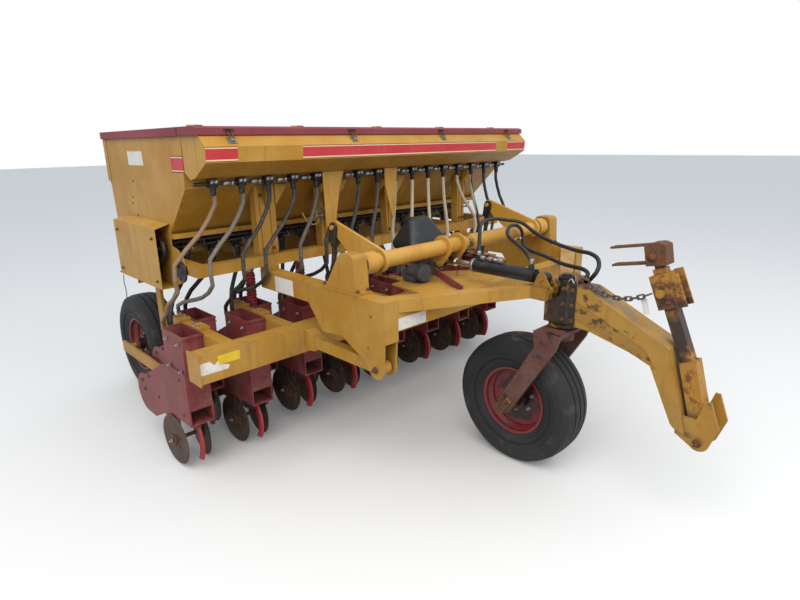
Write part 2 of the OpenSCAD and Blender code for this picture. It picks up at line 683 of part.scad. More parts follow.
// Local X runs from the base pin back to the lever pin, at zero height
module cyl_frame() {
    translate([base_x, lever_y, base_z]) rotate([0, cyl_slope, 180]) children();
}
module along(x0, x1, r) { translate([x0, 0, 0]) rotate([0, 90, 0]) cylinder(r = r, h = x1 - x0); }
module across(x, r, half) { translate([x, half, 0]) rotate([90, 0, 0]) cylinder(r = r, h = 2 * half); }
barrel_r = 36;
rod_r = 16;
// The rod slides this far towards the closed end of the bore, and stops this far short of it
bore_end = 85;
rod_stroke = 20;
run_clear = 8;
module cylinder_barrel() {
    color(dark) place() cyl_frame() difference() {
        union() {
            along(52, 440, barrel_r);
            along(440, 462, barrel_r - 7);
            across(0, 28, 20);
            translate([0, -16, -16]) cube([60, 32, 32]);
            for (x = [80, 418]) translate([x, 0, 0]) cylinder(r = 15, h = barrel_r + 16);
        }
        along(bore_end, 470, rod_r + run_gap);
        across(0, 12.1, 60);
    }
}
module cylinder_rod() {
    color("silver") place() cyl_frame() difference() {
        union() {
            along(bore_end + rod_stroke + run_clear, cyl_len - 20, rod_r);
            along(cyl_len - 70, cyl_len - 18, 24);
            across(cyl_len, 28, 24);
        }
        across(cyl_len, 14, 60);
    }
}
// Hoses from the cylinder's ports, over the rockshaft, to the hitch side of the nose
hose_r = 11;
hose_sides = 10;
port_z = 56;
lower_route = [[120, -150, 1202.5], [120, -150, 1222], [95, -140, 1244], [40, -90, 1256], [-40, -20, 1264],
               [-130, 60, 1268], [-220, 140, 1272], [-290, 220, 1286], [-330, 300, 1306],
               [-345, 370, 1306], [-350, 430, 1290], [-352, 470, 1256], [-348, 480, 1216],
               [-330, 455, 1186], [-290, 410, 1172], [-220, 350, 1168], [-130, 290, 1170],
               [-40, 240, 1170], [50, 190, 1166], [140, 140, 1164], [220, 100, 1168], [290, 66, 1172],
               [336, 34, 1164], [344, 6, 1146], [326, -8, 1128]];
upper_route = [[-218, -150, 1202.5], [-218, -150, 1226], [-232, -130, 1262], [-270, -80, 1306],
               [-320, -10, 1340], [-370, 70, 1352], [-408, 150, 1354], [-424, 240, 1352],
               [-420, 320, 1344], [-400, 390, 1330], [-365, 430, 1324], [-310, 436, 1306],
               [-230, 400, 1280], [-140, 350, 1262], [-50, 300, 1252], [40, 250, 1246], [130, 205, 1242],
               [220, 155, 1244], [300, 110, 1250], [362, 70, 1240], [392, 36, 1212], [392, 14, 1180],
               [374, 12, 1152], [352, 30, 1130], [334, 46, 1118]];
module hose_lower() { color(dark) place() swept(smooth(lower_route, 2), hose_r, hose_sides); }
module hose_upper() { color(dark) place() swept(smooth(upper_route, 2), hose_r, hose_sides); }

// Opener gang

gang_x0 = -925;
gang_x1 = -825;
gang_z0 = 695;
gang_z1 = 845;
link_y = 885;
module opener_frame() {
    half = row_pitch / 2 - head_half;
    color(yellow) place() {
        difference() {
            bar(gang_x0, gang_x1, -1540, 1540, gang_z0, gang_z1);
            for (s = side_y)
                bar(gang_x0 + 10, gang_x1 - 10, s < 0 ? -1530 : 30, s < 0 ? -30 : 1530, gang_z0 + 10,
                    gang_z1 - 10);
        }
        for (s = side_y) bar(gang_x0 - 12, gang_x1 + 12, s < 0 ? -1548 : 1540, s < 0 ? -1540 : 1548,
                             gang_z0 - 6, gang_z1 + 6);
        for (k = [0 : rows / 2 - 1]) {
            y = mid_y(2 * k + 0.5);
            bar(rank_x - rank_step + 40, gang_x0, y - half, y + half, gang_z0 + 10, gang_z1 - 5);
            for (x = [rank_x + 60, rank_x - rank_step + 60])
                bar(x, x + 110, y - half, y + half, gang_z1 - 5, gang_z1 + 14);
        }
        for (s = side_y) {
            difference() {
                plate(concat([[low_x - 60, gang_z1], [low_x + 40, gang_z1]],
                             arc(low_x, rod_low_z, 24, 0, 180)),
                      s * rocker_y - arm_t / 2, s * rocker_y + arm_t / 2);
                rod_y(low_x, rod_low_z, 13, s * rocker_y - 60, s * rocker_y + 60);
            }
            difference() {
                union() {
                    plate([[gang_x1, gang_z0 + 10], [gang_x1, gang_z1 - 20], [-760, 805], [-740, 720]],
                          s * link_y - 34, s * link_y + 34);
                    bar(-790, pin_x - 30, s * link_y - 28, s * link_y + 28, pin_z - 32, pin_z + 32);
                    rod_y(pin_x, pin_z, 34, s * link_y - 28, s * link_y + 28);
                }
                rod_y(pin_x, pin_z, 14.1, s * link_y - 60, s * link_y + 60);
            }
        }
    }
    color(rust) place() for (s = side_y) rod_y(low_x, rod_low_z, 13, s * rocker_y - 34, s * rocker_y + 34);
}
function rank_at(i) = rank_x - (i % 2) * rank_step;
// Openers that hang lower than the rest: row, drop
dropped = [[0, 60], [2, 72]];
function drop_at(i) = let (d = [for (e = dropped) if (e[0] == i) e[1]]) len(d) > 0 ? d[0] : 0;
function axle_z(i) = disc_z - drop_at(i);
head_half = 60;
head_low = 610;
head_top = 850;
plate_t = 8;
plate_out = head_half + plate_t;
floor_z = 158;
module opener_body(i) {
    outline = concat([[230, 470], [-30, 470]], arc(-425, 160, 125, 80, 270, 14),
                     [[-300, 35], [-150, 110], [-60, 110]], arc(0, 0, 40, 155, 385, 12),
                     [[70, floor_z], [230, floor_z]]);
    difference() {
        union() {
            for (s = side_y) translate([0, 0, axle_z(i)])
                plate(outline, s < 0 ? -plate_out : head_half, s < 0 ? -head_half : plate_out);
            translate([0, 0, axle_z(i)]) {
                bar(222, 230, -head_half, head_half, 250, 470);
                bar(-110, 230, -head_half, head_half, floor_z, floor_z + plate_t);
            }
            difference() {
                bar(-30, 230, -head_half, head_half, head_low, head_top);
                bar(-22, 222, -head_half + plate_t, head_half - plate_t, head_low + plate_t, head_top + 1);
            }
            for (x = [-38, 230]) bar(x, x + 8, -head_half, head_half, head_top - 12, head_top);
            if (i % 2 == 0) {
                bar(-172, -30, 44, 54, 780, 800);
                bar(-172, -128, 8, 44, 780, 790);
            }
        }
        translate([0, 0, axle_z(i)]) {
            rod_y(0, 0, 12, -90, 90);
            for (hole = [[-455, 235], [-425, 185], [-330, 300]]) rod_y(hole[0], hole[1], 13, -90, 90);
        }
    }
}
module opener_bodies() {
    color(maroon) place() for (i = [0 : rows - 1]) translate([rank_at(i), mid_y(i), 0]) opener_body(i);
}
disc_y = 77;
disc_toe = 4;
module opener_discs() {
    r = disc_d / 2;
    color("#4a372c") place() for (i = [0 : rows - 1]) translate([rank_at(i), mid_y(i), axle_z(i)]) {
        for (s = side_y) translate([0, s * disc_y, 0]) rotate([-s * 90, 0, -s * disc_toe]) {
            rotate_extrude($fn = 64)
                polygon([[0, -6.4], [24, -6.4], [24, -2.5], [r - 12, -2.5], [r, 0], [r - 12, 2.5],
                         [60, 2.5], [54, 7], [34, 7], [32, 16], [12, 16], [12, 24], [0, 24]]);
        }
        rod_y(0, 0, 11.7, -disc_y, disc_y);
    }
}
boot_x = -75;
module opener_shoes() {
    r0 = disc_d / 2 + 8;
    color(red) place() for (i = [0 : rows - 1]) translate([rank_at(i), mid_y(i), axle_z(i)]) {
        difference() {
            plate(concat(arc(0, 0, r0 + 34, -30, 78, 12), arc(0, 0, r0, 78, -40, 12)), -8, 8);
            bar(-50, 260, -20, 20, floor_z - seat, 260);
        }
        for (y = [-24, 14]) translate([boot_x, y, floor_z + plate_t]) difference() {
            cylinder(r = 17, h = 150);
            translate([0, 0, 10]) cylinder(r = 14.5, h = 150);
        }
    }
}
// A coil spring read as a ribbed sleeve, standing on the origin
module coil(r, wire, length) {
    turns = floor(length / (wire * 1.6));
    pitch = length / turns;
    rotate_extrude() polygon(concat([[0, 0]], [for (k = [0 : turns - 1]) for (q = [0, 1, 2, 3])
        [q == 1 || q == 2 ? r : r - wire, (k + [0.08, 0.25, 0.7, 0.92][q]) * pitch]], [[0, length]]));
}
module opener_springs() {
    place() for (i = [0 : rows - 1]) translate([rank_at(i), mid_y(i), 0]) {
        if (i % 2 == 0) color(dark) translate([-150, 28, 0]) {
            low = axle_z(i) + 410;
            translate([0, 0, low]) coil(20, 8, 780 - seat - low);
            rod_y(0, low, 8, -87.7, 31.7);
        }
        else if (i > 1) color(red) translate([100, 0, head_low + plate_t]) {
            coil(30, 10, 420);
            translate([0, 0, 420]) cylinder(r = 24, h = 10, $fn = 6);
            translate([0, 0, 420]) cylinder(r = 9, h = 32);
        }
    }
}
tube_r = 12;
tube_sides = 8;
cup_share = 0.86;
hose_end = 300;
// Tubes near a side beam pass outside it
function pass_y(y) = abs(y) > 790 && abs(y) < 960 ? sign(y) * 955 : y;
// Route of one tube from its grass-seed cup to its opener's boot
function tube_route(i) = let (y0 = mid_y(i) * cup_share, y1 = mid_y(i) - 50, y2 = pass_y(y1),
                              x1 = rank_at(i) + boot_x) [
    [cup_x, y0, cup_low - seat], [cup_x, y0, cup_low - 82], [cup_x, y0 * 0.6 + y2 * 0.4, 1380],
    [cup_x + 2, y2, 1240], [cup_x, y2, 1100], [beam_rear_x - 32, y2, 1005],
    [cup_x * 0.4 + x1 * 0.6, y1, 950], [x1 + 26, y1 + 10, 880], [x1, mid_y(i) - 24, 790],
    [x1, mid_y(i) - 24, axle_z(i) + hose_end]];
// Route of one hose from its grain meter to its opener's boot
function hose_route(i) = let (y0 = mid_y(i) * cup_share, x1 = rank_at(i) + boot_x, y1 = mid_y(i) + 14) [
    [meter_x[0], y0, spout_z - seat], [meter_x[0], y0, 1170], [meter_x[0] * 0.8 + x1 * 0.2, y0 * 0.8 + y1 * 0.2, 1080],
    [meter_x[0] * 0.3 + x1 * 0.7, y0 * 0.2 + y1 * 0.8, 960], [x1, y1, 860], [x1, y1, 720],
    [x1, y1, axle_z(i) + hose_end]];
function unit(v) = v / norm(v);
function tangent(p, k) = unit(p[min(k + 1, len(p) - 1)] - p[max(k - 1, 0)]);
function ring(p, k, r, n) = let (t = tangent(p, k), a = unit(cross([0, 1, 0], t)), b = cross(t, a))
    [for (j = [0 : n - 1]) p[k] + r * (a * cos(360 * j / n) + b * sin(360 * j / n))];
// A smooth route through the given points, n steps between each two, straight at both ends
end_run = 5;
function smooth(p, n) = let (m = len(p) - 1) concat(
    [p[0], p[0] + end_run * unit(p[1] - p[0])],
    [for (k = [0 : m - 1]) each
        let (a = p[max(k - 1, 0)], b = p[k], c = p[k + 1], d = p[min(k + 2, m)])
        [for (j = [k == 0 ? 1 : 0 : n - 1]) let (t = j / n)
            0.5 * (2 * b + (c - a) * t + (2 * a - 5 * b + 4 * c - d) * t * t
                   + (3 * b - a - 3 * c + d) * t * t * t)]],
    [p[m] - end_run * unit(p[m] - p[m - 1]), p[m]]);
// A round tube swept along a route of points
module swept(p, r, n) {
    m = len(p);
    points = [for (k = [0 : m - 1]) each ring(p, k, r, n)];
    sides = [for (k = [0 : m - 2]) for (j = [0 : n - 1])
        [k * n + j, k * n + (j + 1) % n, (k + 1) * n + (j + 1) % n, (k + 1) * n + j]];
    polyhedron(points, concat([[for (j = [n - 1 : -1 : 0]) j]], sides,
                              [[for (j = [0 : n - 1]) (m - 1) * n + j]]));
}
module seed_tubes() {
    color("#7d7568") place() for (i = [0 : rows - 1]) swept(smooth(tube_route(i), 2), tube_r, tube_sides);
}
module grain_hoses() {
    color(dark) place() for (i = [0 : rows - 1]) swept(smooth(hose_route(i), 2), tube_r + 1, tube_sides);
}

side_beams();
front_crossbeam();
nose_beams();
nose_housing();
shaft_stands();
hopper_frame();
box_posts();
hopper();
front_box();
grain_meters();
grass_meters();
drive_guard();
drive_sprockets();
drive_gearbox();
drive_cover();
wheel_arms();
tongue();
safety_chain();
rear_lid();
front_lid();
front_tyre();
front_rim();
rear_right_tyre();
rear_right_rim();
rear_left_tyre();
rear_left_rim();
king_post();
caster_fork();
front_axle();
rockshaft();
lift_rods();
cylinder_barrel();
cylinder_rod();
hose_lower();
hose_upper();
opener_frame();
opener_bodies();
opener_discs();
opener_shoes();
opener_springs();
seed_tubes();
grain_hoses();
hitch_pole();
hitch_head();
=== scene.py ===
"""Looks of a three-wheeled seed drill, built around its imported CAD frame.

Places and sizes are in millimetres from the front wheel's hub, and at() turns them into the
metres of the scene. +X is forwards and +Y is the machine's left side.
"""

import logging
import math
import random
from dataclasses import dataclass, field
from enum import Enum
from typing import Callable, Dict, List, Optional, Sequence, Tuple

import bpy
import bmesh
from mathutils import Matrix, Vector

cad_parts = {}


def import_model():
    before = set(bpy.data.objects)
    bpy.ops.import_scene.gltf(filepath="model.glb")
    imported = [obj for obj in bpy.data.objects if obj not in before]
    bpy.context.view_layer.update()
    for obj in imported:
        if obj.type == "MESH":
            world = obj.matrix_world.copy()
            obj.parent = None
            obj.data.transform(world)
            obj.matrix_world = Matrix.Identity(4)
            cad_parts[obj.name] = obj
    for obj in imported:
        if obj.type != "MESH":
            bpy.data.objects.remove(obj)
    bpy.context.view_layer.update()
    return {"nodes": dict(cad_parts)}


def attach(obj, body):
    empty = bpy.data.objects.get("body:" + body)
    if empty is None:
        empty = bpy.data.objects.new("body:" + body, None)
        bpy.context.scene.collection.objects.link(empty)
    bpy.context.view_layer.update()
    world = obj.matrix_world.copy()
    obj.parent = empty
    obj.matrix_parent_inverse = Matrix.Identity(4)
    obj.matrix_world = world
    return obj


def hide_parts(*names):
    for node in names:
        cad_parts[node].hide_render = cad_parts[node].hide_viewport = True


LOG = logging.getLogger("seed_drill")
logging.basicConfig(level=logging.INFO, format="%(name)s: %(message)s")

Point = Tuple[float, float, float]
Pair = Tuple[float, float]
Outline = Sequence[Pair]
Colour = Tuple[float, float, float, float]
Socket = bpy.types.NodeSocket
Piece = bpy.types.Object
Mesh = bpy.types.Mesh

MM = 0.001
MM_PER_M = 1000
# Centre of the front wheel in the row frame
HUB_X = 0.954


def at(x: float, y: float, z: float) -> Vector:
    """A point given in millimetres from the front wheel's hub.

    Args:
        x: Distance forwards.
        y: Distance to the left.
        z: Height above the ground.

    Returns:
        The point in the row frame, in metres.
    """
    return Vector((x * MM + HUB_X, y * MM, z * MM))


# Finishes


def linear(code: str) -> Colour:
    """Turns an sRGB hex colour into linear light.

    Args:
        code: Six hex digits.

    Returns:
        Red, green, blue and alpha, linear.
    """
    parts = [int(code[i:i + 2], 16) / 255 for i in (0, 2, 4)]
    return tuple(c / 12.92 if c <= 0.04045 else ((c + 0.055) / 1.055) ** 2.4 for c in parts) + (1.0,)


class Wear(Enum):
    """What covers a worn place: its colour and its roughness."""

    RUST = ("5E3A26", 0.85)
    GREASE = ("15120F", 0.36)
    DUST = ("8C7C62", 0.9)


@dataclass(frozen=True)
class Zone:
    """A place where one kind of wear is stronger.

    Attributes:
        wear: What covers it.
        centre: Its middle.
        reach: How far it goes along x, y and z.
        share: Share of the surface that it covers at its middle.
    """

    wear: Wear
    centre: Point
    reach: Point
    share: float = 0.6


@dataclass(frozen=True)
class Finish:
    """A surface and the wear on it.

    Attributes:
        name: The material's name.
        base: Colour of the clean surface, sRGB hex.
        faded: Its colour where the sun has bleached it.
        rough: Roughness of the clean surface.
        metallic: Share of bare metal.
        dirt: Share of the surface under dust.
        rust: Share of the surface gone to rust.
        grease: Share of the surface under dark grease.
        streaks: Strength of the run-down streaks.
        scale_mm: Size of the large patches.
        grain_mm: Size of the fine grain.
        bump: Depth of the surface's unevenness.
        chips: Share of small paint chips.
        dust: Colour of the dust.
        low_dirt: How strongly dust gathers near the ground.
        worn_edges: How far the edges are worn through.
        zones: Places with more wear than the rest, and about the rims' hubs painted shade as well.
        by_row: Whether the colour changes from row to row.
    """

    name: str
    base: str
    faded: str = ""
    rough: float = 0.5
    metallic: float = 0.0
    dirt: float = 0.25
    rust: float = 0.08
    grease: float = 0.0
    streaks: float = 0.25
    scale_mm: float = 260
    grain_mm: float = 9.0
    bump: float = 0.15
    chips: float = 0.1
    dust: str = "9A8A70"
    low_dirt: float = 0.4
    worn_edges: float = 0.55
    zones: Tuple[Zone, ...] = ()
    by_row: bool = False


# Dark about each wheel's hub: grease, and painted shade that stands for the rims' deep dish.
HUB_GREASE_AND_DISH_SHADE = tuple(Zone(Wear.GREASE, (x, y, 378), (190, 260, 190), 0.8)
                   for x, y in ((0.0, 0.0), (-2580, -1150), (-2580, 1150)))
NOSE_WEAR = (
    Zone(Wear.GREASE, (245, -20, 1000), (130, 170, 210), 1.0),
    Zone(Wear.GREASE, (400, 0.0, 1040), (150, 120, 100), 0.6),
    Zone(Wear.GREASE, (360, 0.0, 985), (110, 110, 60), 0.95),
    Zone(Wear.GREASE, (480, 0.0, 966), (110, 110, 42), 0.95),
    Zone(Wear.GREASE, (600, 0.0, 940), (110, 110, 38), 0.8),
    Zone(Wear.DUST, (520, 0.0, 1040), (330, 70, 110), 0.55),
    Zone(Wear.RUST, (930, 0.0, 560), (110, 110, 160), 0.4),
)
POLE_WEAR = (
    Zone(Wear.RUST, (800, 0.0, 1010), (230, 130, 330), 0.62),
    Zone(Wear.GREASE, (790, 0.0, 960), (190, 130, 300), 0.5),
    Zone(Wear.GREASE, (700, 0.0, 1300), (160, 120, 110), 0.4),
)
SHAFT_GREASE = tuple(Zone(Wear.GREASE, (-430, y, 1240), (110, 60, 110), 0.6)
                     for y in (-880, 0.0, 880))


class Look(Enum):
    """Every finish on the machine."""

    YELLOW = Finish("yellow_paint", "AE7C22", "BA8E3C", rough=0.46, dirt=0.16, rust=0.07, chips=0.16,
                    streaks=0.4, grease=0.02, dust="8E7040")
    BEAM_YELLOW = Finish("beam_paint", "AC7A22", "B68A3A", rough=0.48, dirt=0.26, rust=0.13, chips=0.22,
                         streaks=0.45, grease=0.07, dust="8A6E44")
    DECK_YELLOW = Finish("deck_paint", "BC882A", "C69846", rough=0.6, dirt=0.3, rust=0.12, chips=0.25,
                         grease=0.08, dust="94784C")
    NOSE_YELLOW = Finish("nose_paint", "946618", "A0762F", rough=0.46, dirt=0.35, rust=0.16, grease=0.28,
                         chips=0.25, dust="84683E", zones=NOSE_WEAR)
    TONGUE_YELLOW = Finish("tongue_paint", "A47420", "AE8438", rough=0.48, dirt=0.28, rust=0.15,
                           chips=0.22, streaks=0.45, grease=0.08, dust="8A6E44", zones=NOSE_WEAR)
    POLE_YELLOW = Finish("pole_paint", "A87420", "B28438", rough=0.52, dirt=0.3, rust=0.3, chips=0.25,
                         streaks=0.45, grease=0.1, dust="84683E", zones=POLE_WEAR)
    SHAFT_YELLOW = Finish("rockshaft_paint", "BA862A", "C49642", rough=0.44, dirt=0.14, rust=0.06,
                          chips=0.16, streaks=0.3, dust="8E7040", zones=SHAFT_GREASE)
    MAROON = Finish("opener_paint", "74262A", "88383C", rough=0.5, dirt=0.34, rust=0.16, chips=0.25,
                    dust="7E6A54")
    RED = Finish("red_paint", "A2202A", "AE3A40", rough=0.42, dirt=0.22, rust=0.1, chips=0.15,
                 dust="7E6A58")
    # Darker than the red paint: partly the rims' dirt, partly painted shade on the rims.
    RIM = Finish("rim_paint", "761C26", "822A32", rough=0.45, dirt=0.36, rust=0.1, chips=0.15,
                 dust="5E4C40", low_dirt=0.3, zones=HUB_GREASE_AND_DISH_SHADE)
    LID = Finish("lid_paint", "7C2A34", "8C3C46", rough=0.58, dirt=0.16, rust=0.04, chips=0.08,
                 streaks=0.3, scale_mm=700, dust="74564C")
    STRIPE = Finish("stripe_film", "BE2630", "C63A40", rough=0.42, dirt=0.12, rust=0.0, chips=0.06,
                    streaks=0.2)
    PINSTRIPE = Finish("pinstripe_film", "E4CFA4", "DCC698", rough=0.45, dirt=0.15, rust=0.0, chips=0.1)
    FORK = Finish("fork_paint", "5C2E2A", "68403A", rough=0.6, dirt=0.4, rust=0.3, grease=0.25,
                  dust="6E5E4E")
    GREASY = Finish("greasy_steel", "1B1816", "2B2622", rough=0.42, dirt=0.2, rust=0.1, grease=0.35,
                    bump=0.3, scale_mm=120, dust="5E5344")
    BLACK = Finish("black_paint", "151617", "202122", rough=0.34, dirt=0.14, rust=0.02, chips=0.08,
                   dust="4E4A42", worn_edges=0.25)
    CAST = Finish("grey_casting", "42464A", "54585C", rough=0.6, metallic=0.25, dirt=0.35, rust=0.12,
                  bump=0.4, scale_mm=90, dust="6A6252")
    RUSTY = Finish("rusty_steel", "4E3A2E", "6A4A38", rough=0.72, metallic=0.3, dirt=0.3, rust=0.6,
                   bump=0.4, scale_mm=70, dust="6E604C")
    CHAIN = Finish("chain_steel", "5C5852", "6C675F", rough=0.55, metallic=0.6, dirt=0.2, rust=0.3,
                   scale_mm=50, dust="6E604C")
    DISC = Finish("disc_steel", "3C322C", "54443A", rough=0.5, metallic=0.55, dirt=0.35, rust=0.34,
                  scale_mm=80, dust="6A5C4A")
    BRIGHT = Finish("zinc_steel", "9A9A98", "A9A8A4", rough=0.4, metallic=0.85, dirt=0.2, rust=0.18,
                    scale_mm=60, worn_edges=0.2)
    CHROME = Finish("chrome_rod", "D4D5D6", "C8C8C8", rough=0.12, metallic=1.0, dirt=0.08, rust=0.0,
                    chips=0.0, bump=0.02)
    TYRE = Finish("tyre_rubber", "1C1C1E", "2B2A2A", rough=0.74, dirt=0.2, rust=0.0, chips=0.0,
                  dust="625A50", scale_mm=320, low_dirt=0.3)
    RUBBER = Finish("hose_rubber", "161718", "202122", rough=0.5, dirt=0.16, rust=0.0, chips=0.0,
                    dust="5A544A")
    TUBE = Finish("seed_tube", "3A3835", "4A4742", rough=0.5, dirt=0.2, rust=0.0, chips=0.0,
                  scale_mm=90, by_row=True)
    GREEN = Finish("green_cord", "2F6B4A", "3F7C5A", rough=0.7, dirt=0.2, rust=0.0, chips=0.0)
    LABEL = Finish("blank_label", "D9D6CF", "E4E1DA", rough=0.55, dirt=0.2, rust=0.02, chips=0.18,
                   scale_mm=60)
    LABEL_YELLOW = Finish("blank_label_yellow", "DDB61C", "E4C43C", rough=0.5, dirt=0.2, rust=0.02,
                          chips=0.15, scale_mm=60)


# Colours of what lies over the paint, and of the painted shade in corners
GRIME_AND_CORNER_SHADE = "241C14"
GREASE_BLACK = "17130F"
RUST_DARK = "4A2A19"
RUST_LIGHT = "83502C"
CHIPPED = "3E2C20"


@dataclass(frozen=True)
class Pattern:
    """A noise pattern.

    Attributes:
        size_mm: Size of its patches.
        detail: How many finer layers it has.
        rough: How strong the finer layers are.
        offset: Its shift against the other patterns, in metres.
    """

    size_mm: float
    detail: float
    rough: float
    offset: float = 0.0


class Patterns(Enum):
    """Where each kind of wear lies."""

    STREAK = Pattern(34, 3.0, 0.5, 7.7)
    GREASE = Pattern(70, 5.0, 0.6, 11.3)
    RUST = Pattern(55, 8.0, 0.68, 5.5)
    RUST_SHADE = Pattern(6.0, 6.0, 0.7, 2.2)
    SCUFF = Pattern(22, 4.0, 0.6, 4.4)
    CHIP = Pattern(13, 3.0, 0.5, 9.1)


@dataclass(frozen=True)
class TubeColours:
    """Colours of the seed tubes, which spread out from the cups to the rows as they fall.

    Attributes:
        codes: Colours from the right-hand row to the left-hand one.
        high: Height at which the tubes start to spread, in metres.
        low: Height at which they have spread.
        drift: How far they lean to the right meanwhile, in metres.
        cup_share: Spacing of the cups as a share of the rows' spacing.
        pitch: Spacing of the rows, in metres.
        beam_row: First row that is led round the left side beam.
        beam_limit: Where that row starts, as a share of the machine's width.
        strength: How far the colour covers the plain tube.
    """

    codes: Tuple[str, ...] = ("8C6C50", "756B60", "2A2724", "35322F", "5C554C", "2E2B29", "3A3733", "4E4942",
                              "B5AA90", "CFC4A6", "D3C8AC", "CDC2A4", "C9BEA0", "1D1D1E", "2B2A29", "1B1B1C")
    high: float = 1.52
    low: float = 1.24
    drift: float = 0.05
    cup_share: float = 0.86
    pitch: float = 0.1905
    beam_row: int = 13
    beam_limit: float = 0.837
    strength: float = 0.85


class NodeBuilder:
    """Adds nodes to one tree and wires them."""

    def __init__(self, tree: bpy.types.NodeTree) -> None:
        """Starts on a tree."""
        self.tree = tree

    def add(self, kind: str, **values: object) -> bpy.types.Node:
        """Adds a node and sets its properties or unlinked inputs.

        Args:
            kind: Blender's name of the node type.
            values: Property names, or input names with blanks as underscores.

        Returns:
            The new node.
        """
        made = self.tree.nodes.new(kind)
        for name, value in values.items():
            if hasattr(made, name):
                setattr(made, name, value)
            else:
                made.inputs[name.replace("_", " ")].default_value = value
        return made

    def link(self, out: Socket, into: Socket) -> None:
        """Joins two sockets."""
        self.tree.links.new(out, into)

    def feed(self, value: object, into: Socket) -> None:
        """Sets an input to a number or colour, or joins it to a socket.

        Args:
            value: The number, colour or socket.
            into: The input.
        """
        if isinstance(value, (int, float, tuple)):
            into.default_value = value
        else:
            self.link(value, into)

    def wired(self, made: bpy.types.Node, *values: object) -> bpy.types.Node:
        """Feeds values to a node's first inputs.

        Args:
            made: The node.
            values: Numbers, colours or sockets, in the order of its inputs.

        Returns:
            The node.
        """
        for value, into in zip(values, made.inputs):
            self.feed(value, into)
        return made

    def math(self, operation: str, *values: object, clamp: bool = False) -> Socket:
        """One step of arithmetic.

        Args:
            operation: Blender's name of the step.
            values: Its numbers or sockets, in order.
            clamp: Whether the result is held between 0 and 1.

        Returns:
            The result.
        """
        made = self.add("ShaderNodeMath", operation=operation, use_clamp=clamp)
        return self.wired(made, *values).outputs[0]

    def times(self, a: Socket, b: object) -> Socket:
        """Product of a socket and a socket or number."""
        return self.math("MULTIPLY", a, b)

    def noise(self, coords: Socket, pattern: Pattern) -> Socket:
        """A noise pattern from about 0 to 1.

        Args:
            coords: Place, in metres.
            pattern: Which pattern.

        Returns:
            Its value.
        """
        shift = self.wired(self.add("ShaderNodeVectorMath", operation="ADD"), coords,
                           (pattern.offset, pattern.offset * 0.7, pattern.offset * 1.3))
        made = self.add("ShaderNodeTexNoise", Scale=MM_PER_M / pattern.size_mm, Detail=pattern.detail,
                        Roughness=pattern.rough)
        self.link(shift.outputs[0], made.inputs["Vector"])
        return made.outputs["Fac"]

    def ramp(self, value: Socket, low: float, high: float) -> Socket:
        """Maps low..high of a value to 0..1, held at the ends.

        Args:
            value: The value.
            low: What becomes 0.
            high: What becomes 1, above or below low.

        Returns:
            The mapped value.
        """
        made = self.add("ShaderNodeMapRange", clamp=True, interpolation_type="SMOOTHSTEP", From_Min=low,
                        From_Max=high)
        self.link(value, made.inputs["Value"])
        return made.outputs["Result"]

    def blend(self, share: object, a: object, b: object) -> Socket:
        """Colour a where share is 0, colour b where it is 1."""
        return self._mix("RGBA", (0, 6, 7), share, a, b).outputs[2]

    def level(self, share: object, a: object, b: object) -> Socket:
        """Number a where share is 0, number b where it is 1."""
        return self._mix("FLOAT", (0, 2, 3), share, a, b).outputs[0]

    def _mix(self, kind: str, slots: Sequence[int], *values: object) -> bpy.types.Node:
        """Adds a Mix node, whose inputs differ with the kind of data.

        Args:
            kind: The kind of data.
            slots: Numbers of the inputs for that kind.
            values: What they are fed.

        Returns:
            The node.
        """
        made = self.add("ShaderNodeMix", data_type=kind)
        for value, slot in zip(values, slots):
            self.feed(value, made.inputs[slot])
        return made


def cut(share: float, soft: float = 0.06) -> Pair:
    """Noise levels between which about that share of a surface turns on.

    Args:
        share: Share of the surface, 0 to 1.
        soft: Half the width of the soft edge.

    Returns:
        The low and the high level.
    """
    spread = 0.16
    middle = 0.5 + spread * normal_level(1.0 - min(max(share, 0.001), 0.999))
    return middle - soft, middle + soft


def normal_level(p: float) -> float:
    """Rough inverse of the normal distribution, by a ratio of two polynomials."""
    sign = 1.0 if p > 0.5 else -1.0
    tail = math.sqrt(-2.0 * math.log(1.0 - p if p > 0.5 else p))
    return sign * (tail - (2.30753 + 0.27061 * tail) / (1.0 + 0.99229 * tail + 0.04481 * tail * tail))


